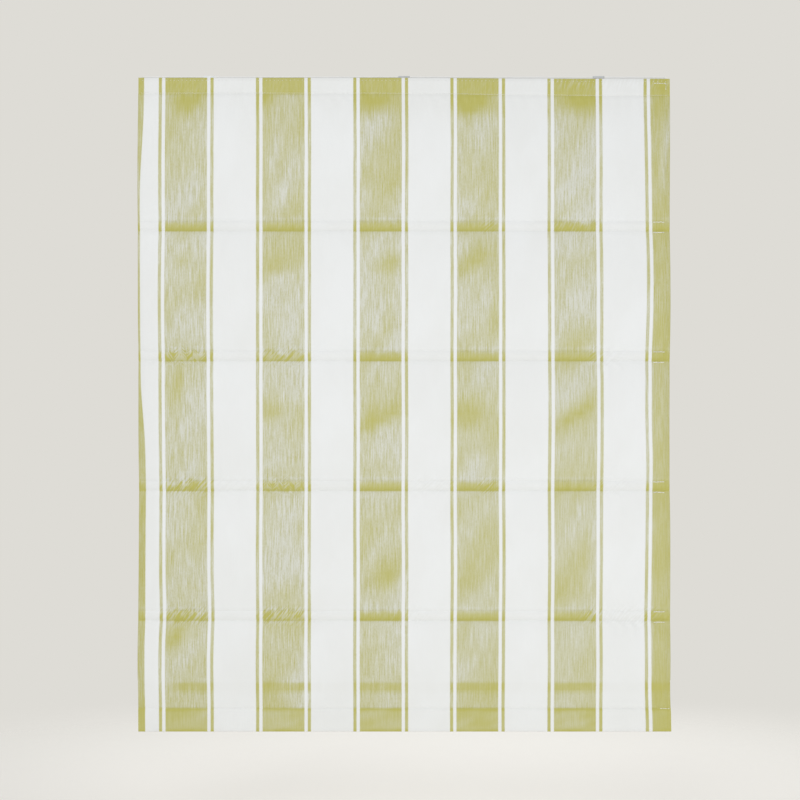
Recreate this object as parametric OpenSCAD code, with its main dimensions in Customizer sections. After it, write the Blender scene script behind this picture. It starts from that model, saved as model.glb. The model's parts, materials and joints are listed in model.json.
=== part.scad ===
// Roman blind, lowered: a lined panel of striped silk on a sprung headrail, raised by its bottom bar.
// Millimetres. Z is up, the room is at -Y, and the origin is the middle of the fixing plane on top.

/* [Blind] */
// Finished width of the cloth
blind_w = 1200; // [1000:10:1600]
// Finished drop of the cloth
drop = 1478; // [1200:2:1800]
// Gap from the fixing plane down to the top of the cloth
top_gap = 4; // [3.5:0.5:6]

/* [Cloth] */
// Thickness of the striped silk
face_t = 0.6; // [0.4:0.1:0.8]
// Thickness of the lining
lining_t = 0.4; // [0.3:0.1:0.6]
// Thickness of the rod pocket tape
tape_t = 0.5; // [0.4:0.1:0.8]
// Space left between two layers of cloth
layer_gap = 0.1; // [0.1:0.05:0.2]
// Room left round a stiff piece in its pocket
pocket_room = 0.3; // [0.3:0.1:0.6]
// Depth of the stitched heading
heading_h = 36; // [34:1:42]
// Cloth top to the lower stitch line of the first rod pocket
first_seam = 346; // [300:2:370]
// Lower stitch line of the last rod pocket to the bottom of the cloth
last_fall = 251.5; // [220:0.5:300]
// Height of a rod pocket, between its two stitch lines
pocket_h = 21.5; // [19:0.5:26]
// How far a panel bellies out between its pockets
billow = 7; // [3:1:14]
// How far a pocket's lower stitch line is drawn back
pinch = 2; // [0.5:0.5:3]
// How far a pocket swells over its rod
swell = 0.8; // [0.2:0.2:1.6]
// Width of the side hems
side_hem = 40; // [30:1:50]
// Height of the hem that holds the bottom bar
hem_h = 53; // [50:1:60]
// Height of all the cloth turned up at the bottom
hem_turn_up = 113; // [100:1:125]
// Depth of the raw edge tucked in at the top of the hem
hem_tuck = 20; // [10:1:30]

/* [Stripes] */
// Distance from one group of stripes to the next
stripe_repeat = 219.5; // [180:0.5:260]
// Width of a wide stripe
stripe_w = 94.5; // [60:0.5:110]
// Width of the thin line on each side of a wide stripe
line_w = 7.2; // [4:0.1:12]
// White gap between a wide stripe and its thin line
line_gap = 7.5; // [4:0.5:12]
// Sideways place of the group nearest the middle
stripe_shift = -52.5; // [-100:0.5:100]
// Width of the narrow strip of green along the left edge
edge_strip = 11; // [4:1:20]

/* [Rods] */
// Diameter of a stiffening rod
rod_d = 4; // [3:0.5:5]
// Diameter of the plastic tip on a rod
tip_d = 5.6; // [5.2:0.2:7]
// Length of a tip
tip_l = 12; // [8:1:16]
// Width of a cord clip along its rod
clip_l = 8; // [6:1:12]
// Wall of a cord clip
guide_wall = 1.4; // [1.2:0.1:1.8]
// Bore of the eye that guides a cord
eye_d = 3.2; // [2.6:0.2:4]

/* [Bottom bar] */
// Height of the bottom bar
bar_h = 38; // [30:1:40]
// Thickness of the bottom bar
bar_t = 5; // [4:0.5:6]
// Wall of the bottom bar
bar_wall = 1; // [0.8:0.1:1.2]
// Cloth's side to the end of the bottom bar's cap
bar_inset = 8; // [5:1:15]

/* [Headrail] */
// Depth of the headrail, front to back
rail_d = 42; // [40:1:48]
// Height of the headrail
rail_h = 38; // [36:1:42]
// Wall of the headrail
rail_wall = 1.6; // [1.2:0.1:2]
// Cloth's side to the end of the headrail
rail_inset = 10; // [8:1:20]
// Thickness of the plate of an end cap
cap_t = 3; // [2:0.5:4]
// Height of the hook and loop tape
grip_h = 25; // [18:1:26]
// Thickness of the hook tape, and of the loop tape
grip_t = 1.2; // [1:0.1:1.6]

/* [Fixing clips] */
// Thickness of the spring steel
steel_t = 1; // [0.8:0.1:1.2]
// Width of a fixing clip
fix_w = 26; // [20:1:40]
// Cloth's side to the middle of an outer clip
fix_inset = 160; // [130:5:240]
// Diameter of the screw holes
fix_hole_d = 4.5; // [3.5:0.1:5]
// Distance between the two screw holes
fix_hole_gap = 20; // [14:1:24]
// Room for screw heads under the clips
screw_room = 4.4; // [3.6:0.2:5]

/* [Lift] */
// Diameter of a lift cord
cord_d = 1.2; // [0.8:0.1:1.4]
// Diameter of a cord drum
drum_d = 18; // [16:0.5:18.5]
// Length of a cord drum
drum_l = 28; // [24:1:36]
// Diameter of the flanges of a cord spool
flange_d = 24; // [22:0.5:25]
// Cloth's side to the nearest lift cord
cord_inset = 75; // [60:5:120]
// Width of the square drive shaft
shaft_w = 6; // [5:0.5:6.5]
// How far the drive shaft lies in front of the headrail's middle
shaft_forward = 4; // [2:0.5:5]
// Each end of the lift spring to the nearest spool cradle
spring_clear = 45.5; // [30:0.5:80]
// Diameter of the spring's wire
wire_d = 2; // [1.5:0.5:2.5]
// Inside diameter of the lift spring
spring_d = 15; // [14:0.5:15.5]

/* [Hidden] */
$fn = 48;
green = [0.76, 0.75, 0.58];
white = [0.93, 0.93, 0.92];
fit = 0.1;          // running fit between two moving pieces
slip = 0.3;         // loose fit of a piece pushed into another
rods = 4;
cords = 4;

// The headrail, in from its fixing clips
rail_l = blind_w - 2 * rail_inset;
rail_top = -steel_t;
rail_bottom = rail_top - rail_h;
web_top = rail_top - screw_room;
web_bottom = web_top - rail_wall;
inner = rail_d / 2 - rail_wall;
ear = 1;            // how far the clipped edges stand out
ear_h = 2.4;
lip_w = 4;          // inward lips along the open bottom
lip_top = rail_bottom + rail_wall;
port_r = 1.7;       // screw ports in the upper corners
port_wall = 1.6;
port_y = inner - port_r - port_wall + 0.2;
port_z = web_bottom - port_r - port_wall + 0.2;

// The drive, on the shaft's line
shaft_y = -shaft_forward;
shaft_z = (web_bottom + lip_top) / 2;
shaft_bush_r = shaft_w * sqrt(2) / 2 + fit;
cord_y = shaft_y - (drum_d + cord_d) / 2;
flange_t = 2;
journal_d = 12;
cradle_wall = 3;
side_play = 0.5;
base_top = shaft_z - flange_d / 2 - 0.4;
cradle_l = drum_l + 2 * (flange_t + side_play + cradle_wall);
function cord_x(k) = (k / (cords - 1) - 0.5) * (blind_w - 2 * cord_inset);
spring_l = cord_x(2) - cord_x(1) - cradle_l - 2 * spring_clear;
fix_spread = blind_w / 2 - fix_inset;

// Layers at the heading, from the headrail to the room
grip_z = -top_gap - heading_h / 2;
turn_y = -rail_d / 2 - 2 * grip_t - layer_gap - face_t / 2;
lining_off = face_t / 2 + layer_gap + lining_t / 2;
turn_off = lining_off + lining_t / 2 + layer_gap + face_t / 2;
face_y = turn_y - turn_off;
back_off = turn_off + face_t + layer_gap;

// The cloth's line, as the distance out from the heading at a depth below the cloth's top
seam_pitch = (drop - first_seam - last_fall) / (rods - 1);
hem_line = drop - hem_h;
hem_top = drop - hem_turn_up;
hem_swell = 1.5;
hem_ease = 7;
function level(d) = -top_gap - d;
function pocket_low(k) = first_seam + k * seam_pitch;
function pocket_high(k) = pocket_low(k) - pocket_h;
function panel_top(k) = k == 0 ? heading_h : pocket_low(k - 1);
function panel_low(k) = k == rods ? hem_line : pocket_high(k);
function panel_line(s, draw) = draw * pow(1 - s, 8) - billow * (1 - pow(2 * s - 1, 2));
function pocket_line(s) = pinch * s * s - swell * sin(180 * s);
function passed(d) = len([for (k = [0:rods - 1]) if (d > pocket_low(k)) k]);
function cloth_line(d) =
    d <= heading_h ? 0 :
    d >= hem_line ? -hem_swell * min(1, (d - hem_line) / hem_ease) :
    let (k = passed(d))
    k < rods && d > pocket_high(k) ? pocket_line((d - pocket_high(k)) / pocket_h) :
    panel_line((d - panel_top(k)) / (panel_low(k) - panel_top(k)), k == 0 ? 0 : pinch);
function face_mid(d) = face_y + cloth_line(d);
function spread(a, b, n) = [for (i = [0:n - 1]) a + (b - a) * i / n];
cloth_levels = concat(
    [for (k = [0:rods]) each concat(
        [for (s = [0, 0.02, 0.06, 0.12, 0.2, 0.3, 0.4, 0.5, 0.6, 0.7, 0.8, 0.88, 0.95])
            panel_top(k) + s * (panel_low(k) - panel_top(k))],
        k < rods ? spread(pocket_high(k), pocket_low(k), 6) : [])],
    [hem_line, hem_line + hem_ease]);
function levels(a, b) = concat([a], [for (d = cloth_levels) if (d > a + 0.5 && d < b - 0.5) d], [b]);

// Bottom bar in its hem
hem_r = (face_t + bar_t) / 2 + pocket_room;
bar_y = face_y - hem_swell + hem_r;
bar_low = level(drop) + face_t + pocket_room;
bar_top = bar_low + bar_h;
bar_l = blind_w - 2 * bar_inset - 4;
anchor_z = bar_top - 11;
anchor_foot = 10;
anchor_h = 8;

// Rods in their pockets
tip_r = tip_d / 2;
rod_off = lining_off + lining_t / 2 + pocket_room + tip_r;
function rod_depth(k) = pocket_low(k) - pocket_h / 2;
function rod_z(k) = level(rod_depth(k));
function rod_y(k) = face_mid(rod_depth(k)) + rod_off;
tape_l = blind_w - 2 * side_hem - 2;
rod_l = tape_l - 2 * (tip_l - 8) - 6;
eye_r = eye_d / 2;

// A profile drawn with Y across and Z up, run along X
module along_x(x0, x1)
    translate([x0, 0, 0]) rotate([90, 0, 90]) linear_extrude(x1 - x0) children();

module shaft_line(x0, x1, d)
    translate([x0, shaft_y, shaft_z]) rotate([0, 90, 0]) cylinder(h = x1 - x0, d = d);

module rounded(y0, y1, z0, z1, r) {
    translate([y0 + r, z0]) square([y1 - y0 - 2 * r, z1 - z0]);
    translate([y0, z0 + r]) square([y1 - y0, z1 - z0 - 2 * r]);
    for (y = [y0 + r, y1 - r], z = [z0 + r, z1 - r]) translate([y, z]) circle(r);
}

module bar_section(inset)
    rounded(bar_y - bar_t / 2 + inset, bar_y + bar_t / 2 - inset, bar_low + inset, bar_top - inset,
        bar_t / 2 - inset - 0.05);

// A strip of cloth of a given thickness along a line of points
function along(p, i) = let (v = p[min(i + 1, len(p) - 1)] - p[max(i - 1, 0)]) v / norm(v);
function beside(p, i, t) = p[i] + t / 2 * [along(p, i)[1], -along(p, i)[0]];
function ribbon(p, t) = concat(
    [for (i = [0:len(p) - 1]) beside(p, i, t)],
    [for (i = [len(p) - 1:-1:0]) beside(p, i, -t)]);
function bend(y, z, r, a0, a1, n) =
    [for (i = [0:n]) let (a = a0 + (a1 - a0) * i / n) [y + r * cos(a), z + r * sin(a)]];

// A layer that lies behind the face cloth from one depth to another
module layer(d0, d1, off, t) {
    ds = levels(d0, d1);
    polygon(concat(
        [for (d = ds) [face_mid(d) + off - t / 2, level(d)]],
        [for (i = [len(ds) - 1:-1:0]) [face_mid(ds[i]) + off + t / 2, level(ds[i])]]));
}

// Heading turned down behind, the front, the turned-up hem and its tucked-in raw edge
face_path = concat(
    [[turn_y, level(heading_h - 2)]],
    bend(face_y + turn_off / 2, level((turn_off + face_t) / 2), turn_off / 2, 0, 180, 6),
    [for (d = levels(heading_h, hem_line + hem_ease)) [face_mid(d), level(d)]],
    bend(bar_y, level(drop) + hem_r + face_t / 2, hem_r, 180, 360, 10),
    [[bar_y + hem_r, level(hem_line + hem_ease)]],
    [for (i = [len(levels(hem_top + 1, hem_line)) - 1:-1:0])
        let (d = levels(hem_top + 1, hem_line)[i]) [face_mid(d) + back_off, level(d)]],
    bend(face_mid(hem_top) + (turn_off + back_off) / 2, level(hem_top + 0.5), (back_off - turn_off) / 2, 0, 180, 6),
    [for (d = levels(hem_top + 1, hem_top + hem_tuck)) [face_mid(d) + turn_off, level(d)]]);

function in_stripe(x) =
    let (g = (x - stripe_shift) / stripe_repeat, u = abs(g - round(g)) * stripe_repeat - stripe_w / 2)
    u < 0 || (u > line_gap && u < line_gap + line_w) || x < edge_strip - blind_w / 2;
stripe_edges = [for (g = [-6:6], u = [-1, 1]) each
    let (c = stripe_shift + g * stripe_repeat, e = [0, line_gap, line_gap + line_w])
    [for (i = u < 0 ? [2, 1, 0] : [0, 1, 2]) c + u * (stripe_w / 2 + e[i])]];
cloth_cuts = concat([-blind_w / 2, edge_strip - blind_w / 2],
    [for (x = stripe_edges) if (x > edge_strip + 1 - blind_w / 2 && x < blind_w / 2 - 1) x], [blind_w / 2]);

module face_fabric() {
    difference() {
        for (i = [0:len(cloth_cuts) - 2])
            color(in_stripe((cloth_cuts[i] + cloth_cuts[i + 1]) / 2) ? green : white)
                along_x(cloth_cuts[i], cloth_cuts[i + 1]) polygon(ribbon(face_path, face_t));
        for (k = [0:cords - 1])
            translate([cord_x(k) - anchor_foot / 2 - 1, bar_y + bar_t / 2 + 0.1, anchor_z - anchor_foot / 2 - 1])
                cube([anchor_foot + 2, 4, anchor_foot + 2]);
    }
    color(white) for (m = [0, 1]) mirror([m, 0, 0]) {
        along_x(blind_w / 2 - side_hem, blind_w / 2) layer(heading_h, hem_top - 1, turn_off, face_t);
        along_x(blind_w / 2 - face_t, blind_w / 2) layer(heading_h, hem_top - 1, turn_off / 2, turn_off);
    }
}

module lining()
    color([0.95, 0.94, 0.9])
        along_x(-blind_w / 2 + face_t + slip, blind_w / 2 - face_t - slip)
            layer(4, hem_line - 4, lining_off, lining_t);

module rod_tape(k) {
    base = turn_off - face_t / 2;
    rise = rod_y(k) + tip_r + 2 * pocket_room - (face_y + pinch / 4 + base);
    path = [for (s = [0:1 / 12:1.001])
        let (d = pocket_high(k) + 0.5 + s * (pocket_h - 1))
        [face_y + pinch * s * s + base + tape_t / 2 + rise * (1 - pow(2 * s - 1, 4)), level(d)]];
    color([0.93, 0.92, 0.88]) difference() {
        along_x(-tape_l / 2, tape_l / 2) polygon(ribbon(path, tape_t));
        for (c = [0:cords - 1])
            translate([cord_x(c) - clip_l / 2 - 2, rod_y(k) - tip_r, rod_z(k) - 5.5]) cube([clip_l + 4, 9, 11]);
    }
}

module rod(k)
    color([0.85, 0.86, 0.84]) translate([-rod_l / 2, rod_y(k), rod_z(k)]) rotate([0, 90, 0])
        cylinder(h = rod_l, d = rod_d);

module rod_tips(k)
    color([0.92, 0.92, 0.9]) for (m = [0, 1]) mirror([m, 0, 0])
        translate([rod_l / 2 - 8, rod_y(k), rod_z(k)]) rotate([0, 90, 0]) difference() {
            cylinder(h = tip_l, r = tip_r);
            translate([0, 0, -1]) cylinder(h = 9 + fit, d = rod_d + fit);
        }

// An eye round a lift cord on a stem, shared by the rods' clips and the bar's anchors
module cord_eye(y_from, h) {
    difference() {
        union() {
            translate([0, cord_y, -h / 2]) cylinder(h = h, r = eye_r + guide_wall);
            translate([-guide_wall, y_from, -h / 2 + 0.5])
                cube([2 * guide_wall, cord_y - y_from - eye_r, h - 1]);
        }
        translate([0, cord_y, -h]) cylinder(h = 2 * h, d = eye_d);
    }
}

module rod_clips(k) {
    hug = rod_d / 2 + fit / 2;
    color([0.94, 0.94, 0.93]) for (c = [0:cords - 1]) translate([cord_x(c), 0, rod_z(k)]) {
        translate([-clip_l / 2, rod_y(k), 0]) rotate([0, 90, 0]) difference() {
            cylinder(h = clip_l, r = hug + guide_wall);
            translate([0, 0, -1]) cylinder(h = clip_l + 2, r = hug);
            translate([-tip_d, -2 * tip_d - 0.8, -1]) cube([2 * tip_d, 2 * tip_d, clip_l + 2]);
        }
        cord_eye(rod_y(k) + hug + 0.3, 5);
    }
}

module bottom_bar()
    color([0.8, 0.8, 0.81]) along_x(-bar_l / 2, bar_l / 2) difference() {
        bar_section(0);
        bar_section(bar_wall);
    }

module bar_caps()
    color([0.9, 0.9, 0.89]) for (m = [0, 1]) mirror([m, 0, 0]) {
        along_x(bar_l / 2, bar_l / 2 + 2) bar_section(0);
        along_x(bar_l / 2 - 10, bar_l / 2) bar_section(bar_wall + fit);
    }

module cord_anchors()
    color([0.94, 0.94, 0.93]) for (k = [0:cords - 1]) translate([cord_x(k), 0, anchor_z]) {
        translate([-anchor_foot / 2, bar_y + bar_t / 2, -anchor_foot / 2])
            cube([anchor_foot, guide_wall, anchor_foot]);
        cord_eye(bar_y + bar_t / 2 + guide_wall - 0.1, anchor_h);
    }

module cord_stops()
    color([0.94, 0.94, 0.93]) for (k = [0:cords - 1])
        translate([cord_x(k), cord_y, anchor_z - anchor_h / 2 - 3.2]) difference() {
            sphere(d = 6);
            cylinder(h = 8, d = cord_d + fit, center = true);
        }

module lift_cord(k) {
    low = anchor_z - anchor_h / 2 - 5;
    color([0.96, 0.95, 0.92]) {
        translate([cord_x(k), cord_y, low]) cylinder(h = shaft_z - low, d = cord_d);
        translate([cord_x(k) + cord_d, shaft_y, shaft_z]) rotate([0, 90, 0]) rotate_extrude()
            polygon(concat([[drum_d / 2 + 0.05, 0], [drum_d / 2 + 0.05, 3 * cord_d]],
                [for (i = [2:-1:0]) each [[drum_d / 2 + cord_d * 0.6, (i + 1) * cord_d],
                    [drum_d / 2 + cord_d, (i + 0.75) * cord_d], [drum_d / 2 + cord_d, (i + 0.25) * cord_d]]],
                [[drum_d / 2 + cord_d * 0.6, 0]]));
    }
}

module headrail()
    color([0.92, 0.92, 0.91]) along_x(-rail_l / 2, rail_l / 2) difference() {
        union() {
            translate([-inner - 0.1, web_bottom]) square([2 * inner + 0.2, rail_wall]);
            for (m = [0, 1]) mirror([m, 0]) {
                translate([inner, rail_bottom]) square([rail_wall, rail_h]);
                translate([rail_d / 2 - 0.1, rail_top - ear_h]) square([ear + 0.1, ear_h]);
                translate([rail_d / 2 - lip_w, rail_bottom]) square([lip_w, rail_wall]);
                translate([port_y, port_z]) circle(port_r + port_wall);
            }
            // ledges that locate the hook tape on the front
            for (s = [-1, 1]) translate([-rail_d / 2 - 0.8, grip_z + s * (grip_h / 2 + 0.8) - 0.5])
                square([0.9, 1]);
        }
        for (m = [0, 1]) mirror([m, 0]) translate([port_y, port_z]) {
            circle(port_r);
            rotate(-135) translate([0, -0.9]) square([2 * port_r + port_wall, 1.8]);
        }
    }

// Cap for one end: a plate, two ribs inside the walls, and a bush for the shaft
module end_cap() {
    x = rail_l / 2;
    color([0.93, 0.93, 0.92]) difference() {
        union() {
            along_x(x, x + cap_t)
                rounded(-rail_d / 2 - ear, rail_d / 2 + ear, rail_bottom, rail_top, 1.5);
            along_x(x - 9, x + 0.1) for (m = [0, 1]) mirror([m, 0])
                translate([inner - slip - 2, lip_top + slip]) square([2, rail_h / 2]);
            shaft_line(x - 10, x + 0.1, 2 * shaft_bush_r + 6);
        }
        shaft_line(x - 12, x, 2 * shaft_bush_r);
        for (s = [-1, 1]) translate([x - 1, s * port_y, port_z]) rotate([0, 90, 0])
            cylinder(h = cap_t + 2, r = port_r + fit);
    }
}

module end_cap_screws()
    color([0.75, 0.75, 0.77]) for (m = [0, 1], s = [-1, 1]) mirror([m, 0, 0])
        translate([rail_l / 2 + cap_t, s * port_y, port_z]) rotate([0, 90, 0]) {
            difference() {
                cylinder(h = 2, r = 3);
                for (a = [0, 90]) rotate(a) translate([-2, -0.5, 1]) cube([4, 1, 2]);
            }
            translate([0, 0, -14]) cylinder(h = 14.1, r = port_r - 0.15);
        }

module fixing_clip(x) {
    hook_y = rail_d / 2 + ear + fit;
    toe_z = rail_top - ear_h - fit;
    color([0.78, 0.79, 0.8]) difference() {
        along_x(x - fix_w / 2, x + fix_w / 2) {
            translate([-hook_y - steel_t, -steel_t]) square([2 * (hook_y + steel_t), steel_t]);
            for (m = [0, 1]) mirror([m, 0]) {
                translate([hook_y, toe_z - steel_t]) square([steel_t, steel_t - toe_z]);
                translate([rail_d / 2 + fit, toe_z - steel_t]) square([ear + steel_t, steel_t]);
            }
        }
        for (s = [-1, 1]) translate([x, s * fix_hole_gap / 2, -steel_t - 1])
            cylinder(h = steel_t + 2, d = fix_hole_d);
    }
}

module hook_tape()
    color([0.9, 0.9, 0.9]) translate([-rail_l / 2 + 3, -rail_d / 2 - grip_t, grip_z - grip_h / 2])
        cube([rail_l - 6, grip_t, grip_h]);

module loop_tape()
    color([0.95, 0.95, 0.95]) translate([-rail_l / 2 + 3, -rail_d / 2 - 2 * grip_t, grip_z - grip_h / 2])
        cube([rail_l - 6, grip_t, grip_h]);

module drive_shaft()
    color([0.74, 0.75, 0.77])
        translate([2 - rail_l / 2, shaft_y - shaft_w / 2, shaft_z - shaft_w / 2])
            cube([rail_l - 4, shaft_w, shaft_w]);

module shaft_hole(x0, x1)
    translate([x0, shaft_y - shaft_w / 2 - fit, shaft_z - shaft_w / 2 - fit])
        cube([x1 - x0, shaft_w + 2 * fit, shaft_w + 2 * fit]);

module cord_spool(k) {
    x = cord_x(k);
    half = drum_l / 2 + flange_t;
    end = half + side_play + cradle_wall + 1;
    color([0.94, 0.94, 0.92]) difference() {
        translate([x, shaft_y, shaft_z]) rotate([0, 90, 0]) rotate_extrude() polygon([
            [0, -end], [journal_d / 2, -end], [journal_d / 2, -half], [flange_d / 2, -half],
            [flange_d / 2, -half + flange_t * 0.6], [drum_d / 2, 0.001 - half + flange_t],
            [drum_d / 2, half - flange_t], [flange_d / 2, half - flange_t * 0.6],
            [flange_d / 2, half], [journal_d / 2, half], [journal_d / 2, end], [0, end]]);
        shaft_hole(x - end - 1, x + end + 1);
    }
}

// Upright that carries a bearing on the shaft's line, rising from its base
module upright(r) {
    translate([shaft_y, shaft_z]) circle(r);
    translate([shaft_y - r, lip_top]) square([2 * r, shaft_z - lip_top]);
}

module carrier_base(x0, x1)
    along_x(x0, x1) {
        translate([-inner + slip, lip_top]) square([2 * (inner - slip), base_top - lip_top]);
        translate([-rail_d / 2 + lip_w + slip, rail_bottom + 0.2])
            square([rail_d - 2 * (lip_w + slip), base_top - rail_bottom - 0.3]);
    }

module spool_cradle(k) {
    x = cord_x(k);
    color([0.88, 0.88, 0.87]) difference() {
        union() {
            carrier_base(x - cradle_l / 2, x + cradle_l / 2);
            for (s = [-1, 1]) let (xw = x + s * (cradle_l - cradle_wall) / 2)
                along_x(xw - cradle_wall / 2, xw + cradle_wall / 2) upright(journal_d / 2 + 3);
        }
        shaft_line(x - cradle_l, x + cradle_l, journal_d + 2 * fit);
        translate([x, cord_y, rail_bottom - 1]) cylinder(h = rail_h / 2, d = 2 * cord_d + 1);
    }
}

module spring_driver()
    color([0.35, 0.36, 0.38]) difference() {
        union() {
            shaft_line(-spring_l / 2 - 4, -spring_l / 2, spring_d + 2 * wire_d + 1);
            shaft_line(-spring_l / 2 - 0.1, -spring_l / 2 + 10, spring_d - 2 * fit);
        }
        shaft_hole(-spring_l / 2 - 5, -spring_l / 2 + 11);
    }

module spring_anchor() {
    x = spring_l / 2;
    color([0.35, 0.36, 0.38]) difference() {
        union() {
            carrier_base(x, x + 16);
            along_x(x, x + 4) upright(spring_d / 2 + wire_d + 0.5);
            shaft_line(x - 10, x + 0.1, spring_d - 2 * fit);
        }
        shaft_line(x - 12, x + 20, 2 * shaft_bush_r + 2 * fit);
    }
}

// Close-wound coil, each turn a ridge
module lift_spring() {
    turns = floor(spring_l / wire_d);
    r = spring_d / 2;
    color([0.7, 0.7, 0.72]) translate([-spring_l / 2, shaft_y, shaft_z]) rotate([0, 90, 0]) rotate_extrude()
        polygon(concat([[r, turns * wire_d], [r, 0], [r + wire_d * 0.6, 0]],
            [for (i = [0:turns - 1]) each [[r + wire_d, (i + 0.5) * wire_d],
                [r + wire_d * 0.6, (i + 1) * wire_d]]]));
}

headrail();
mirror([1, 0, 0]) end_cap();  // end_cap_left
end_cap();  // end_cap_right
end_cap_screws();
fixing_clip(-fix_spread);  // fixing_clip_left
fixing_clip(0);  // fixing_clip_centre
fixing_clip(fix_spread);  // fixing_clip_right
hook_tape();
loop_tape();
drive_shaft();
spring_driver();
lift_spring();
spring_anchor();
face_fabric();
lining();
bottom_bar();
bar_caps();
cord_anchors();
cord_stops();
for (k = [0:rods - 1]) {
    rod(k);
    rod_tips(k);
    rod_tape(k);
    rod_clips(k);
}
for (k = [0:cords - 1]) {
    cord_spool(k);
    spool_cradle(k);
    lift_cord(k);
}
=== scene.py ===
"""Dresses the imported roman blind: silk, lining, rod pockets, stitching, cords and a sprung headrail."""

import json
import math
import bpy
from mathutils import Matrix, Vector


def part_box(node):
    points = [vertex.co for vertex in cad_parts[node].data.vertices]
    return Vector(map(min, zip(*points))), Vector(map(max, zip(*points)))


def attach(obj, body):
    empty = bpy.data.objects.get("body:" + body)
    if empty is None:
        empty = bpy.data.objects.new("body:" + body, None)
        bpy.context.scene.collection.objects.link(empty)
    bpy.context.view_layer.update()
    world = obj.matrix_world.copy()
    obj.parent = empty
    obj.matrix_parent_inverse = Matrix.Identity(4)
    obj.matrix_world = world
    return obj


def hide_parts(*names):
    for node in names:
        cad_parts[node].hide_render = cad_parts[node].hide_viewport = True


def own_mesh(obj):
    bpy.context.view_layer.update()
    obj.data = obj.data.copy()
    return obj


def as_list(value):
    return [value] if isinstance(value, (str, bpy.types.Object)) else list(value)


bl_info = {
    "name": "Roman Blind",
    "version": (1, 0, 0),
    "blender": (4, 5, 0),
    "location": "View3D > Sidebar > Roman Blind",
    "description": "Striped silk, lining, pocket tapes, stitching, cords and finishes for a roman blind",
    "category": "Add Mesh",
}

import bpy
import numpy as np
from bpy.props import FloatProperty, FloatVectorProperty, IntProperty, PointerProperty
from mathutils import Matrix, Vector


def centre_of(node):
    """Middle of a node's box."""
    return [(low + high) / 2 for low, high in zip(*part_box(node))]


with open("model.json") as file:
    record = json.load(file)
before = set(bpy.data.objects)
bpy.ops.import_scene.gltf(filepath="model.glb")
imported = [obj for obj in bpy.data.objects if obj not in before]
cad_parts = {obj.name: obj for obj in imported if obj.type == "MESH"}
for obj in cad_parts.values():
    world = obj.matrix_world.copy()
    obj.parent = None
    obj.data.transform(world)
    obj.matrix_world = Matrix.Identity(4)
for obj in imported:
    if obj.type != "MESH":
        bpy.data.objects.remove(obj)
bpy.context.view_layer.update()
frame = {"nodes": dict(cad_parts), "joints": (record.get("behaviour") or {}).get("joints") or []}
CLOTH_LOW, CLOTH_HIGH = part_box("face_fabric")
SHAFT = Vector(centre_of("drive_shaft"))
TRAVEL = next(joint["range_m"][1] for joint in frame["joints"] if joint["name"] == "lift")
RODS = CORDS = 4
MM = 0.001
HAIR = 0.02 * MM  # gap between a pocket and the panels beside it
PLAY = 0.1 * MM  # gap between two layers of cloth
RAIL_EAR = 1 * MM  # how far the headrail's ears stand out in front of it
GRIP_TAPES = 2.5 * MM  # both grip tapes, with their play
CORD_R = 0.6 * MM
DRUM_R = 9.6 * MM  # radius of a cord's turns on its drum
OPENING = 6 * MM  # half width of the opening left in the cloth at each cord
DRUM_TURNS = 3.6  # turns of cord left on each drum
RIPPLE, FINE_RIPPLE = 0.026, 0.011  # pitch of the puckers along a seam, and of those in the heading
TUG = 8 * MM  # how far from a pocket's stitch line its puckers stand highest
SWAY = 2.6 * MM  # how far a side edge wanders
FLARE = 4 * MM  # how far the bottom right corner stands out
SAG = 2.5 * MM  # how far the right end of the top edge hangs low
# The line below is only a painted highlight in the silk's tone, with no crease in the cloth
HIGHLIGHT_LINE = 1.125  # depth of a faint pale line pressed across the cloth on both sides of its middle
STITCH_RINGS, STITCH_SIDES = 4, 6
# Grid points across the width of each piece
COLUMNS = {"panel": 285, "heading": 361, "hem": 321, "flap": 161, "lining": 181, "tape": 141, "grip": 481}
# The first mark is the silk's painted sheen and painted shade; the others say how tight the stitching is, how
# the puckers lean, and how calm the slubs are
MARKS = ("shade", "tight", "lean", "calm")  # what the drape says of each point of the silk


def srgb(*levels):
    """Scene-linear colour of an sRGB triple from 0 to 255, by the usual sRGB curve."""
    c = np.array(levels) / 255
    return tuple(float(v) for v in np.where(c <= 0.04045, c / 12.92, ((c + 0.055) / 1.055) ** 2.4))


def length(name, description, default):
    return FloatProperty(name=name, description=description, default=default, unit="LENGTH", precision=5)


def colour(name, description, *levels):
    return FloatVectorProperty(
        name=name, description=description, default=srgb(*levels), subtype="COLOR", size=3, min=0, max=1
    )


class BlindSizes(bpy.types.PropertyGroup):
    width: length("Width", "Finished width of the cloth", CLOTH_HIGH.x - CLOTH_LOW.x)
    drop: length("Drop", "Finished drop of the cloth", CLOTH_HIGH.z - CLOTH_LOW.z)
    heading: length("Heading", "Depth of the stitched heading", 0.036)
    first_seam: length("First seam", "Cloth top to the lower stitch line of the first rod pocket", 0.346)
    last_fall: length("Last fall", "Lower stitch line of the last pocket to the bottom", 0.2515)
    pocket: length("Pocket", "Height of a rod pocket between its stitch lines", 0.0215)
    billow: length("Billow", "How far a panel bellies out between pockets", 0.007)
    pinch: length("Pinch", "How far a pocket's lower stitch line is drawn back", 0.002)
    swell: length("Swell", "How far a pocket swells over its rod", 0.0008)
    side_hem: length("Side hem", "Width of the cloth turned back at the sides", 0.040)
    hem: length("Hem", "Height of the hem that holds the bottom bar", 0.053)
    turn_up: length("Turn-up", "Height of all the cloth turned up at the bottom", 0.113)
    tuck: length("Tuck", "Depth of the raw edge tucked in at the top of the turn-up", 0.020)
    silk: length("Silk", "Thickness of the silk", 0.0006)
    lining: length("Lining", "Thickness of the lining", 0.0004)
    tape: length("Tape", "Thickness of the pocket tape", 0.0005)
    pucker: length("Pucker", "Height of the puckers along tight stitching", 0.0011)
    hollow: length("Hollow", "Depth of the soft hollows in a panel", 0.0016)
    seed: IntProperty(name="Seed", description="Chooses the cloth's creases", default=7, min=0)


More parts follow.
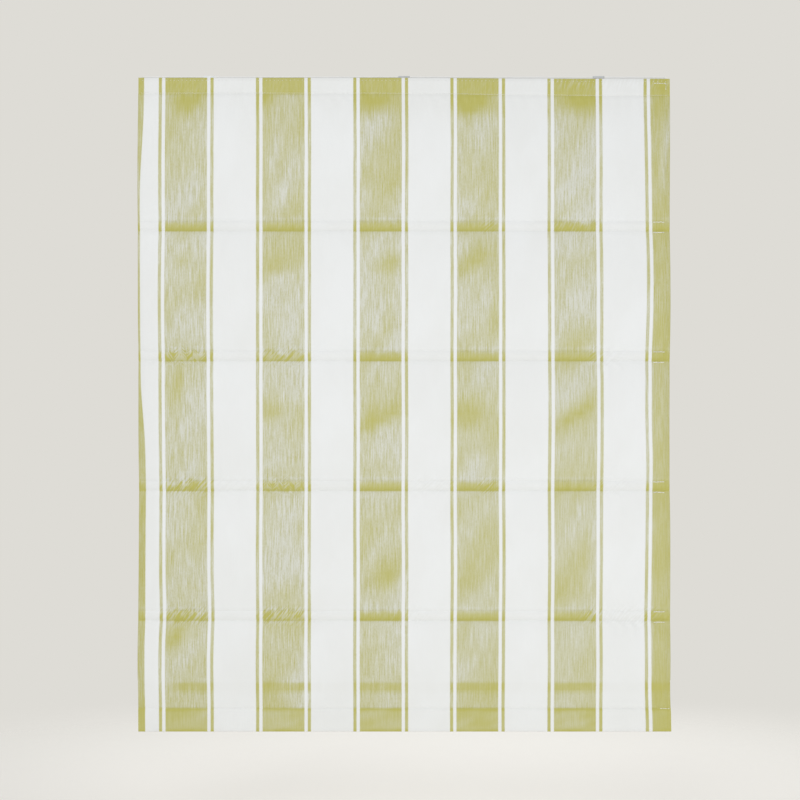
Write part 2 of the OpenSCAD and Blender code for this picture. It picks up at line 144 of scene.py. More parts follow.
class StripeSizes(bpy.types.PropertyGroup):
    repeat: length("Repeat", "Distance from one group of stripes to the next", 0.2195)
    wide: length("Wide stripe", "Width of a wide stripe", 0.0945)
    line: length("Thin line", "Width of the thin line beside a wide stripe", 0.0072)
    gap: length("Gap", "White gap between a wide stripe and its thin line", 0.0075)
    shift: length("Shift", "Sideways place of the group nearest the middle", -0.0525)
    sliver: length("Sliver", "Width of the green strip along the left edge", 0.011)
    fuzz: length("Fuzz", "How softly one colour of thread gives way to the other", 0.0011)


class BlindColours(bpy.types.PropertyGroup):
    # Deep green is the silk's green with no painted sheen, shown where the painted shade falls; pale green is
    # the painted sheen laid over it
    deep: colour("Deep green", "Silk where two layers lie together", 187, 183, 98)
    pale: colour("Pale green", "Silk where light catches the slubs", 213, 214, 203)
    white: colour("White", "White of the silk", 238, 240, 240)
    thread: colour("Thread", "White sewing thread", 243, 243, 240)
    lining: colour("Lining", "Cotton lining", 236, 233, 224)
    tape: colour("Tape", "Woven pocket tape", 233, 231, 223)
    cord: colour("Cord", "Braided lift cord", 240, 238, 231)
    rail: colour("Headrail", "Powder coat of the headrail", 231, 231, 229)
    plastic: colour("White plastic", "Moulded white plastic", 234, 234, 231)
    dark: colour("Dark plastic", "Moulded dark plastic", 62, 64, 68)
    metal: colour("Bar", "Satin aluminium of the bottom bar", 205, 206, 208)
    steel: colour("Steel", "Zinc-plated steel", 168, 171, 174)
    room: colour("Room", "Background", 222, 220, 214)
    floor: colour("Floor", "Pale floor", 246, 244, 239)


def field(u, v, seed):
    """Smooth random field from -1 to 1: random values on a unit lattice with cubic steps between them."""
    size = 97
    table = np.random.default_rng(seed).uniform(-1, 1, (size, size))
    iu, iv = np.floor(u).astype(int), np.floor(v).astype(int)
    fu, fv = u - iu, v - iv
    fu, fv = fu * fu * (3 - 2 * fu), fv * fv * (3 - 2 * fv)

    def at(a, b):
        return table[(iu + a) % size, (iv + b) % size]

    return (at(0, 0) * (1 - fu) + at(1, 0) * fu) * (1 - fv) + (at(0, 1) * (1 - fu) + at(1, 1) * fu) * fv


def step(x, a, b):
    """Cubic step from 0 at a to 1 at b, for a below or above b."""
    t = np.clip((x - a) / (b - a), 0, 1)
    return t * t * (3 - 2 * t)


def bell(x, centre, reach, power=2):
    """Bell curve: e to minus a power of the distance from the centre, in reaches."""
    return np.exp(-(((x - centre) / reach) ** power))


def humps(d, tops, feet):
    """Sum of parabolas, each 0 at a top and at its foot, and 1 halfway between them."""
    p = np.clip((d[..., None] - tops) / (feet - tops), 0, 1)
    return (4 * p * (1 - p)).sum(-1)


def between(values):
    """Halfway from each value to the next."""
    return (values[1:] + values[:-1]) / 2


class Cut:
    """The cloth's lines in metres, worked out from the sizes: levels are depths below the cloth's top."""

    def __init__(self, s):
        self.s = s
        self.half = s.width / 2
        self.lining_off = s.silk / 2 + PLAY + s.lining / 2
        self.turn_off = self.lining_off + s.lining / 2 + PLAY + s.silk / 2
        self.back_off = self.turn_off + s.silk + PLAY
        self.top = CLOTH_HIGH.z
        self.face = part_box("headrail")[0].y + RAIL_EAR - GRIP_TAPES - s.silk / 2 - self.turn_off
        self.hem_line = s.drop - s.hem
        self.hem_top = s.drop - s.turn_up
        self.hem_swell, self.hem_ease = 1.5 * MM, 7 * MM
        pitch = (s.drop - s.first_seam - s.last_fall) / (RODS - 1)
        self.low = s.first_seam + pitch * np.arange(RODS)
        self.high = self.low - s.pocket
        self.mid = (self.high + self.low) / 2
        self.seams = np.sort([*self.high, *self.low])
        self.panel_top = np.concatenate([[s.heading], self.low])
        self.panel_low = np.concatenate([self.high, [self.hem_line]])
        held = np.concatenate([[s.heading], self.mid, [self.hem_line]])
        self.rise = TRAVEL * (held - s.heading) / (self.hem_line - s.heading)
        self.bar_y = centre_of("bottom_bar")[1]
        self.hem_r = self.bar_y - self.face + self.hem_swell
        cords = [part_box(f"lift_cord_{k + 1}")[0] for k in range(CORDS)]
        self.cord_x = np.array([low.x for low in cords]) + CORD_R
        self.cord_low = cords[0].z
        self.cord_y = SHAFT.y - DRUM_R
        self.cord_edges = np.concatenate([self.cord_x - OPENING, self.cord_x + OPENING])

    def level(self, depth):
        return self.top - depth

    def line(self, depth):
        """How far the cloth stands behind its heading at a depth: each panel is a parabola that bellies out
        to the room and starts from the seam above, flatter towards the hem in the last one, each pocket a
        quadratic draw back with a half sine over its rod, and the hem a short ramp to a flat front."""
        s, d = self.s, np.asarray(depth, float)
        y = np.zeros_like(d)
        for k in range(RODS + 1):
            p = np.clip((d - self.panel_top[k]) / (self.panel_low[k] - self.panel_top[k]), 0, 1)
            draw = s.pinch if k else 0.0
            belly = s.billow * (1 - (2 * p - 1) ** 2) * (1 - 0.6 * step(p, 0.5, 1) * (k == RODS))
            y = np.where((p > 0) & (p < 1), draw * (1 - p) ** 8 - belly, y)
        for k in range(RODS):
            q = np.clip((d - self.high[k]) / s.pocket, 0, 1)
            inside = (d > self.high[k]) & (d <= self.low[k])
            y = np.where(inside, s.pinch * q**2 - s.swell * np.sin(np.pi * q), y)
        ease = np.clip((d - self.hem_line) / self.hem_ease, 0, 1)
        return np.where(d >= self.hem_line, -self.hem_swell * ease, y)


# Soft folds pressed into the panels, each a shallow hollow in the cloth and a patch of painted shade on the
# silk:
# across, depth, half length and half width in mm, rise in degrees, and strength. A fold with a negative
# strength stands out instead, catches the light and carries a painted highlight.
FOLDS = (
    (-484, 63, 30, 30, 60, 0.6), (-226, 108, 60, 12, 85, 0.5), (-52, 62, 60, 36, 5, 0.95),
    (167, 62, 60, 38, -5, 0.95), (386, 59, 60, 28, 0, 0.35), (572, 63, 30, 16, 70, 0.5),
    (-280, 427, 60, 28, 15, 0.6), (-40, 425, 55, 24, 10, 0.8), (160, 418, 60, 24, 30, 0.9),
    (-506, 418, 40, 20, 20, 0.5), (386, 418, 50, 20, 20, 0.4), (-52, 775, 56, 24, 28, 1.1),
    (149, 764, 50, 46, 35, 0.8), (386, 764, 50, 20, 35, 0.8), (-292, 759, 34, 28, 30, 1.1),
    (-506, 696, 50, 14, 85, 0.5), (167, 1137, 60, 46, 40, 0.9), (-32, 1137, 40, 46, 40, 0.9),
    (386, 1165, 60, 40, 10, 0.35), (-495, 1159, 40, 26, 20, 0.4), (-269, 1164, 40, 26, 20, 0.4),
    (-517, 1265, 36, 26, 45, 0.8), (149, 1295, 30, 30, 30, 0.4), (386, 244, 70, 22, 50, -0.9),
    (-253, 549, 70, 26, 80, -0.7), (-484, 1306, 50, 16, 50, -0.6), (590, 180, 90, 9, 85, -0.9),
    (156, 303, 40, 24, 20, -0.7), (-472, 244, 60, 22, 80, -0.45), (-54, 538, 60, 24, 80, -0.4),
    (180, 560, 60, 18, 75, -0.35), (-270, 250, 60, 26, 70, -0.5), (-480, 905, 60, 20, 75, -0.4),
    (-255, 1010, 60, 20, 80, -0.4), (400, 1010, 60, 20, 70, -0.35), (160, 900, 50, 18, 60, -0.4),
    (-52, 885, 60, 60, 0, 0.3), (145, 175, 75, 22, 85, 0.5), (-291, 165, 75, 20, 85, -0.55),
    (-29, 470, 110, 22, 85, 0.45), (190, 475, 110, 18, 85, -0.4), (-72, 770, 80, 22, 85, 0.5),
    (366, 775, 60, 26, 70, 0.4), (-265, 1285, 60, 40, 0, -0.45), (364, 970, 40, 20, 70, -0.5),
    (409, 1085, 90, 18, 85, 0.35), (-511, 755, 90, 20, 85, 0.35),
)
# Where the cloth is pulled sideways, in mm: across, depth, half width, half height, shift to the right
PULLS = (
    (-500, 590, 120, 260, -2.6), (-490, 1205, 110, 60, 2.4), (560, 40, 90, 150, -3.4),
    (560, 420, 90, 160, 3.2), (560, 880, 90, 90, 2.8), (420, 760, 110, 170, 2.8),
    (560, 1260, 90, 150, -2.0), (170, 1420, 120, 160, -1.6),
)
# Where the stitching drew tight: across in mm, pocket from the top, half width in mm, strength
TIGHT = (
    (-490, 1, 60, 1.0), (-490, 2, 60, 1.0), (-490, 3, 62, 1.0), (-272, 3, 60, 1.1), (-272, 2, 60, 0.8),
    (-272, 1, 55, 0.8), (438, 3, 34, 0.9), (442, 1, 20, 0.9), (520, 3, 50, 0.9), (-380, 2, 50, 0.4),
    (430, 0, 50, 0.4), (192, 2, 26, 0.7), (60, 2, 50, 0.7), (20, 3, 40, 0.5), (195, 0, 20, 0.4),
    (470, 1, 30, 0.5), (470, 2, 40, 0.4), (365, 0, 34, 0.35),
)
# Where the puckers zigzag: across in mm, pocket from the top, half width in mm, pitch in mm
ZIGZAGS = ((-492, 1, 55, 30), (-272, 2, 50, 26))


class Drape:
    """How the silk lies over the cut's plain lines: puckers, hollows, wandering stripes, and the silk's
    painted sheen and painted shade.
    """

    def __init__(self, cut):
        self.cut, self.s = cut, cut.s

    def wander(self, x, size, row, stream):
        """Random line across the width, from -1 to 1: a row of the field on a lattice of the given size."""
        return field(x / size, np.full_like(x, row), self.s.seed + stream)

    def folds(self, x, d):
        """Sum of leaning bell curves, one for each fold in the list, softer above than below."""
        total = np.zeros(np.broadcast(x, d).shape)
        for across, depth, run, wide, rise, strength in FOLDS:
            dx, dd = x - across * MM, d - depth * MM
            c, s = math.cos(math.radians(rise)), math.sin(math.radians(rise))
            over = dx * s + dd * c
            soft = np.where(over < 0, 1.15, 0.55) * wide * MM
            total += strength * bell(dx * c - dd * s, 0, run * MM) * bell(over, 0, soft)
        return total

    def tightness(self, x, k):
        """How tight pocket k is sewn along it: a faint random level plus a bell for each tight place."""
        t = 0.09 + 0.08 * self.wander(x, 0.09, k + 0.5, 40)
        for across, pocket, wide, strength in TIGHT:
            if pocket == k:
                t = t + strength * bell(x, across * MM, wide * MM, 4)
        return t

    def ripple(self, x, away, k):
        """Rows of small waves that lean as they leave the seam: a sine whose phase drifts."""
        lean = 1.1 * self.wander(x, 0.12, 3.3 + k, 51)
        phase = 2.2 * self.wander(x, 0.035, 9.1 + k, 52)
        return np.sin(2 * np.pi * (x + lean * away) / RIPPLE + phase)

    def tugged(self, x, d, line, side, reach, k):
        """Ripple on one side of a stitch line, held flat on it and highest one reach away: q exp(1 - q)
        times the ripple, for q reaches from the line."""
        q = np.clip(side * (d - line) / reach, 0, 8)
        return q * np.exp(1 - q) * self.ripple(x, d - line, k)

    def puckers(self, x, d):
        """Ripples beside the pockets' stitch lines and a half sine of them across each pocket, as high as
        it is tight, with finer ones down the heading, ripples below it and above the hem, and a random
        field on the hem."""
        cut, s = self.cut, self.s
        total = np.zeros(np.broadcast(x, d).shape)
        for k in range(RODS):
            above = self.tugged(x, d, cut.high[k], -1, TUG, k)
            below = self.tugged(x, d, cut.low[k], 1, TUG, k)
            q = np.clip((d - cut.high[k]) / s.pocket, 0, 1)
            inside = np.sin(np.pi * q) * self.ripple(x, 1.5 * (d - cut.low[k]), k)
            total += self.tightness(x, k) * (0.75 * (above + below) + 0.7 * inside)
        gather = np.sin(np.pi * np.clip(d / s.heading, 0, 1))
        fine = np.sin(2 * np.pi * (x + 0.5 * d) / FINE_RIPPLE + 3 * self.wander(x, 0.04, 1.7, 53))
        total += (0.15 + 0.15 * self.wander(x, 0.05, 2.9, 57)) * gather * fine
        total += 0.35 * self.tugged(x, d, s.heading, 1, 12 * MM, 7)
        total += 0.3 * self.tugged(x, d, cut.hem_line, -1, 9 * MM, 8)
        hem = np.sin(np.pi * np.clip((d - cut.hem_line) / s.hem, 0, 1))
        return total + 0.3 * hem * field((x + 0.6 * d) / 0.05, d / 0.03, s.seed + 54)

    def relief(self, x, d):
        """The silk's own creases, only ever forward of the plain line, towards the room: hollows in the
        panels where the folds lie, and puckers that are held down within 5 mm of every stitch line."""
        cut, s = self.cut, self.s
        free = humps(d, cut.panel_top, cut.panel_low)
        lazy = field((x + 0.45 * d) / 0.11, (d - 0.3 * x) / 0.22, s.seed)
        crease = s.hollow * free * (1.1 + lazy - 0.9 * self.folds(x, d))
        small = s.pucker * (1 + self.puckers(x, d)) * np.clip((d - 2 * MM) / (4 * MM), 0, 1)
        lines = np.array([s.heading, cut.hem_line, *cut.seams])
        pinned = np.clip(np.abs(d[..., None] - lines) / (5 * MM), 0, 1).prod(-1)
        hem = step(d, cut.hem_line, cut.hem_line + 8 * MM)
        return -np.maximum(crease, 0) - np.maximum(small, 0) * pinned * (1 - 0.6 * hem)

    def sway(self, x, d):
        """Sideways wander of the cloth: each edge follows its own slow random line, and the middle hardly
        moves. The right edge flares out below."""
        near = np.abs(x / self.cut.half) ** 4
        edge = np.where(x < 0, 2.5, 7.5)
        flare = FLARE * step(x, 0.45, 0.6) * step(d, 1.36, self.s.drop)
        return SWAY * near * field(d / 0.26, edge + 0 * d, self.s.seed + 3) + flare

    def level(self, x, d):
        """Height of the cloth at a depth: its right end sags at the top edge, twice as far at the heading's
        stitch line, and level again by the first pocket."""
        low = SAG * (1 + step(d, 0, self.s.heading)) * step(d, self.cut.high[0] - 5 * MM, 0.05)
        return self.cut.level(d) - low * step(x, -0.1, 0.45)

    def flat(self, x, d):
        """Place on the flat cloth across the width: stripes shift by a bell curve for each pull and a slow
        random field, and the strip at the left edge is wide at the top and low down."""
        shift = 0.6 * MM * field(x / 0.3 + 9, d / 0.16, self.s.seed + 5)
        for across, depth, wide, tall, pull in np.array(PULLS) * MM:
            shift = shift + pull * bell(x, across, wide) * bell(d, depth, tall)
        left = step(x, -0.56, -0.59)
        strip = 6.5 * MM - 8.5 * MM * step(d, 0.30, 0.05) - 11.5 * MM * step(d, 0.66, 0.86)
        return x - shift * (1 - left) + left * strip

    def lean(self, x, d):
        """How far a pucker has moved sideways from its pocket's middle line: puckers rise to the right by a
        slowly random slope, and zigzag where the list says so."""
        total = np.zeros(np.broadcast(x, d).shape)
        for k in range(RODS):
            away = d - self.cut.mid[k]
            way = 0.75 + 0.35 * self.wander(x, 0.09, k, 55)
            for across, pocket, wide, pitch in ZIGZAGS:
                if pocket == k:
                    turned = np.clip(2.5 * np.sin(2 * np.pi * (x - across * MM) / (pitch * MM)), -1, 1)
                    way = way + (turned - way) * bell(x, across * MM, wide * MM, 6)
            total = np.where(np.abs(away) < 60 * MM, way * away, total)
        return np.where(d < 2 * self.s.heading, 0.35 * d, total)

    def calm(self, x, d):
        """How calm the slubs are: most on the hem, about half as much in the heading and low on the right."""
        hem = step(d, self.cut.hem_line - 2 * MM, self.cut.hem_line + 2 * MM)
        head = 0.5 * step(d, self.s.heading, self.s.heading - 2 * MM)
        return np.maximum(np.maximum(hem, head), 0.6 * step(x, -0.1, 0.3) * step(d, 0.45, 0.9))

    def tight(self, x, d):
        """How hard the stitching draws the cloth: each pocket's tightness, fading 10 mm above and below it,
        and the heading's, hardest along the top at the right."""
        head = self.s.heading
        total = np.zeros(np.broadcast(x, d).shape)
        for k in range(RODS):
            away = np.maximum(np.maximum(self.cut.high[k] - d, d - self.cut.low[k]), 0)
            total += self.tightness(x, k) * bell(away, 0, 10 * MM)
        total += 0.7 * step(x, 0.28, 0.36) * step(d, 0.8 * head, 0.2 * head)
        return total + (0.14 + 0.16 * self.wander(x, 0.12, 6.6, 56)) * step(d, head + 12 * MM, head)

    def shade(self, x, d):
        """Painted sheen and painted shade of the silk, as a share from deep to pale green: high in the open
        panels, with soft patches of painted sheen and the folds' painted shade and highlights; low, as
        painted shade, under the heading, down each pocket and where cloth is doubled in the heading, pockets,
        turn-up, hem and side hems."""
        cut, s = self.cut, self.s
        # Soft random patches of painted sheen, finer ones on top, less where a fold lays painted shade and
        # more where a fold of negative strength lays a painted highlight
        t = 0.63 + 0.31 * field((x + 0.6 * d) / 0.058, (d - 0.35 * x) / 0.12, s.seed)
        t = t + 0.07 * field((x + 0.5 * d) / 0.020, d / 0.060, s.seed + 11) - 0.50 * self.folds(x, d)
        # Painted shade under the heading, fading over about 40 mm
        below = np.clip(d - s.heading, 0, None)
        t = t - (0.30 + 0.15 * self.wander(x, 0.04, 4.4, 13)) * bell(below, 0, 40 * MM)
        # Each pocket: painted shade that deepens down to its lower stitch line, with a ragged top edge, and a
        # faint painted highlight just above it
        for k in range(RODS):
            q = (d - cut.high[k]) / s.pocket
            ragged = 0.25 * self.wander(x, 0.011, k, 14) * (0.5 + self.tightness(x, k))
            band = step(q + ragged, -0.20, 0.35) * step(q, 1.06, 1.0)
            t = t * (1 - band) + band * (0.32 - 0.30 * np.clip(q, 0, 1))
            t = t + 0.12 * step(q, -0.55, -0.3) * step(q, -0.08, -0.25)
        # The heading: painted shade at a low flat level
        end = s.heading + 5 * MM
        t = t * step(d, s.heading - 1 * MM, end) + 0.10 * step(d, end, s.heading)
        # A faint line of painted highlight across the cloth, on both sides of its middle
        t = t + 0.10 * bell(d, HIGHLIGHT_LINE, 3 * MM) * (np.abs(x - 0.05) > 0.22)
        # The turn-up behind the face: painted shade with random mottle, fading out near the left edge, and a
        # little more painted shade on all below its raw edge
        raw = cut.hem_top + s.tuck
        tuck = step(d, cut.hem_top - 3 * MM, cut.hem_top + 5 * MM) * step(d, raw + 5 * MM, raw - 3 * MM)
        tuck = tuck * step(x, -0.55, -0.49)
        t = t * (1 - (0.68 + 0.14 * field((x + d) / 0.03, d / 0.02, s.seed + 15)) * tuck)
        t = t - 0.08 * step(d, raw - 2 * MM, raw + 4 * MM)
        # The hem: random mottle in painted shade, deeper still at its stitch line and at the bottom fold
        hem = step(d, cut.hem_line - 2 * MM, cut.hem_line + 2 * MM)
        mottle = 0.25 + 0.16 * field((x + d) / 0.03, d / 0.02, s.seed + 12)
        edge = bell(d, cut.hem_line, 6 * MM) + bell(d, s.drop, 6 * MM)
        t = t * (1 - hem) + hem * (mottle - 0.28 * edge)
        # The side hems, where the cloth is doubled: painted shade, deeper further down
        inner = cut.half - s.side_hem
        side = step(np.abs(x), inner - 2 * MM, inner + 3 * MM)
        return np.clip(t * (1 - (0.28 + 0.32 * step(d, 0.2, 0.6)) * side), 0, 1)


def rows_between(marks, coarse, fine):
    """Depths from the first mark to the last, spaced coarse in the open and fine within 20 mm of a mark."""
    parts = []
    for a, b in zip(marks[:-1], marks[1:]):
        near = np.minimum(20 * MM, (b - a) / 2)
        n = max(2, round(near / fine))
        m = max(2, round((b - a - 2 * near) / coarse)) if b - a > 2.2 * near else 1
        for start, end, count in ((a, a + near, n), (a + near, b - near, m), (b - near, b, n)):
            parts.append(np.linspace(start, end, count, endpoint=False))
    return np.unique(np.round(np.concatenate([*parts, [marks[-1]]]), 7))


def snapped(values, marks):
    """The same rising values with the nearest one moved on to each mark."""
    values = values.copy()
    values[[int(np.argmin(np.abs(values - m))) for m in marks]] = marks
    return np.sort(values)


def placed(*places):
    """Points of a grid or of a row, from their places along each axis."""
    return np.stack(np.broadcast_arrays(*places), -1)


def joined(*stretches):
    """A path's stretches end to end: columns of its depths, its places and its third value."""
    return np.concatenate([placed(*stretch) for stretch in stretches]).T[:, :, None]


def slab(mid, thickness, keep=None, seams=()):
    """Closed sheet: the middle surface moved half its thickness out and in along its normal, which is the
    cross product of the grid's two directions, level on the rows of seams, and walled along every open
    edge. Also gives the grid point of each vertex."""
    rows, cols = mid.shape[:2]
    normal = np.cross(np.gradient(mid, axis=0), np.gradient(mid, axis=1))
    normal[seams, :, 2] = 0
    normal *= thickness / 2 / np.linalg.norm(normal, axis=2, keepdims=True)
    points = np.concatenate([(mid + normal).reshape(-1, 3), (mid - normal).reshape(-1, 3)])
    n = rows * cols
    index = np.arange(n).reshape(rows, cols)
    a, b, c, d = index[:-1, :-1], index[:-1, 1:], index[1:, 1:], index[1:, :-1]
    keep = np.broadcast_to(True if keep is None else keep, a.shape)
    gone = np.pad(~keep, 1, constant_values=True)
    quads = [np.stack([a, d, c, b], -1)[keep], np.stack([a, b, c, d], -1)[keep] + n]
    up, right, down, left = gone[:-2, 1:-1], gone[1:-1, 2:], gone[2:, 1:-1], gone[1:-1, :-2]
    for start, end, beyond in ((a, b, up), (b, c, right), (c, d, down), (d, a, left)):
        edge = keep & beyond
        quads.append(np.stack([start[edge], end[edge], end[edge] + n, start[edge] + n], -1))
    used, faces = np.unique(np.concatenate(quads), return_inverse=True)
    return points[used], faces.reshape(-1, 4), used % n


def ringed(rows, cols):
    """Numbers of a grid's points, and its quads, where each row closes into a ring."""
    i = np.arange(rows * cols).reshape(rows, cols)
    j = np.roll(i, -1, axis=1)
    return i, np.stack([i[:-1], i[1:], j[1:], j[:-1]], -1).reshape(-1, 4)


def tube(path, radius, sides):
    """Round cord along a path: a ring of points square to the path at each step, with flat ends. Its map
    runs once round and along the path in metres."""
    along = np.gradient(path, axis=0)
    along /= np.linalg.norm(along, axis=1, keepdims=True)
    first = np.cross(along, [1.0, 0.0, 0.0])
    first /= np.linalg.norm(first, axis=1, keepdims=True)
    second = np.cross(along, first)
    turn = 2 * np.pi * np.arange(sides) / sides
    ring = np.cos(turn)[None, :, None] * first[:, None] + np.sin(turn)[None, :, None] * second[:, None]
    points = path[:, None] + radius * ring
    i, quads = ringed(len(path), sides)
    run = np.concatenate([[0], np.cumsum(np.linalg.norm(np.diff(path, axis=0), axis=1))])
    uv = placed(turn / (2 * np.pi), run[:, None])
    faces = [*np.roll(quads[:, ::-1], 1, axis=1).tolist(), i[0, ::-1].tolist(), i[-1].tolist()]
    return points.reshape(-1, 3), faces, uv.reshape(-1, 2)


def stitch_row(centres, along, out, size, width):
    """A thread's short run at each centre: rings of points, thin and centred a little below the cloth's
    surface at both ends, thick and centred a little above it between them."""
    side = np.cross(along, out)
    t = np.array([-1.0, -0.55, 0.55, 1.0])
    r = np.array([0.45, 1.0, 1.0, 0.45])[:, None] * width / 2
    lift = 0.25 * width - 0.3 * width * t[:, None] ** 2
    turn = 2 * np.pi * np.arange(STITCH_SIDES) / STITCH_SIDES
    one = placed(t[:, None] * size / 2, lift + r * np.cos(turn), r * np.sin(turn)).reshape(-1, 3)
    points = centres[:, None] + one @ np.array([along, out, side])
    i, quads = ringed(STITCH_RINGS, STITCH_SIDES)
    start = i.size * np.arange(len(centres))[:, None, None]
    caps = np.array([i[0], i[-1, ::-1]])
    faces = (quads + start).reshape(-1, 4).tolist() + (caps + start).reshape(-1, STITCH_SIDES).tolist()
    return points.reshape(-1, 3), faces


def add_piece(name, points, faces, material, body, slot, uv=None, sharp=50, **marks):
    """One mesh object that rides on a body, with its UV map and its marks, one number for each point."""
    mesh = bpy.data.meshes.new(name)
    mesh.from_pydata(points.tolist(), [], faces if isinstance(faces, list) else faces.tolist())
    mesh.polygons.foreach_set("use_smooth", np.ones(len(mesh.polygons), bool))
    mesh.set_sharp_from_angle(angle=math.radians(sharp))
    if uv is not None:
        corners = np.empty(len(mesh.loops), np.int32)
        mesh.loops.foreach_get("vertex_index", corners)
        mesh.uv_layers.new(name="cloth").uv.foreach_set("vector", uv[corners].astype(np.float32).ravel())
    for key, values in marks.items():
        data = mesh.attributes.new(key, "FLOAT", "POINT").data
        data.foreach_set("value", values.astype(np.float32).ravel())
    mesh.materials.append(material)
    piece = bpy.data.objects.new(name, mesh)
    bpy.context.scene.collection.objects.link(piece)
    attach(piece, body)
    return piece


def draw_up(piece, cut, k):
    """Gives a piece of panel k its own copy of its mesh. The share it would close by as the blind is raised,
    the difference of the rises of the heading, rods or bar that hold it over the panel's height, and the
    anchor are worked out but not used."""
    share = float((cut.rise[k + 1] - cut.rise[k]) / (cut.panel_low[k] - cut.panel_top[k]))
    anchor = float(cut.level(cut.panel_top[k]) + cut.rise[k] / share)
    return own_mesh(piece)


class Nodes:
    """A node tree with short calls that add to it. A call that adds a node gives one of its outputs."""

    def __init__(self, tree):
        self.tree = tree

    def put(self, value, socket):
        """Links an output to a socket, or sets a constant on it."""
        if isinstance(value, bpy.types.NodeSocket):
            self.tree.links.new(value, socket)
        else:
            socket.default_value = value

    def add(self, kind, inputs=None, out=0, **settings):
        """A shader node with its options set and each input linked or set."""
        node = self.tree.nodes.new("ShaderNode" + kind)
        for key, value in settings.items():
            setattr(node, key, value)
        for key, value in (inputs or {}).items():
            self.put(value, node.inputs[key])
        return node.outputs[out]

    def sums(self, operation, *values, clamp=False):
        return self.add("Math", dict(enumerate(values)), operation=operation, use_clamp=clamp)

    def plus(self, *values, clamp=False):
        return self.sums("ADD", *values, clamp=clamp)

    def times(self, *values, clamp=False):
        return self.sums("MULTIPLY", *values, clamp=clamp)

    def scaled(self, *values, clamp=False):
        """The first value times the second, plus the third."""
        return self.sums("MULTIPLY_ADD", *values, clamp=clamp)

    def highest(self, *values):
        return self.sums("MAXIMUM", *values)

    def ramp(self, value, low, high, to_low=0.0, to_high=1.0):
        """Smooth step of a value from one level to another."""
        inputs = {"Value": value, "From Min": low, "From Max": high, "To Min": to_low, "To Max": to_high}
        return self.add("MapRange", inputs, interpolation_type="SMOOTHSTEP")

    def grain(self, place, scale, detail=2.0, rough=0.55):
        """Noise on a place stretched by its own scale in each direction."""
        stretched = self.add("VectorMath", {0: place, 1: scale}, operation="MULTIPLY")
        inputs = {"Vector": stretched, "Scale": 1.0, "Detail": detail, "Roughness": rough}
        return self.add("TexNoise", inputs, noise_dimensions="3D")

    def mix(self, share, a, b):
        """Mix of two colours."""
        a, b = ((*c, 1.0) if isinstance(c, tuple) else c for c in (a, b))
        return self.add("Mix", {0: share, 6: a, 7: b}, out=2, data_type="RGBA")


class Finish(Nodes):
    """A new material, with what its surface node needs."""

    def __init__(self, name):
        self.material = bpy.data.materials.new(name)
        self.material.use_nodes = True
        super().__init__(self.material.node_tree)
        self.surface = self.tree.nodes["Principled BSDF"]

    def on_cloth(self):
        """Place on the piece's own map: on the flat cloth, or round and along a cord."""
        return self.add("UVMap", uv_map="cloth")

    def on_object(self):
        """Place in the piece's own frame."""
        return self.add("TexCoord", out=3)

    def split(self, place):
        """The first two coordinates of a place."""
        return self.add("SeparateXYZ", {0: place}).node.outputs[:2]

    def set(self, **values):
        """Links or sets the surface's inputs, named with _ for each space."""
        for key, value in values.items():
            self.put(value, self.surface.inputs[key.replace("_", " ")])

    def embossed(self, height, depth, strength, **values):
        """Finished material: a bump of the height, and the surface's other inputs."""
        bump = self.add("Bump", {"Height": height, "Distance": depth, "Strength": strength})
        self.set(Normal=bump, **values)
        return self.material


def tinted(tint, share):
    """A colour times a share, at most 1."""
    return tuple(min(1.0, share * v) for v in tint)


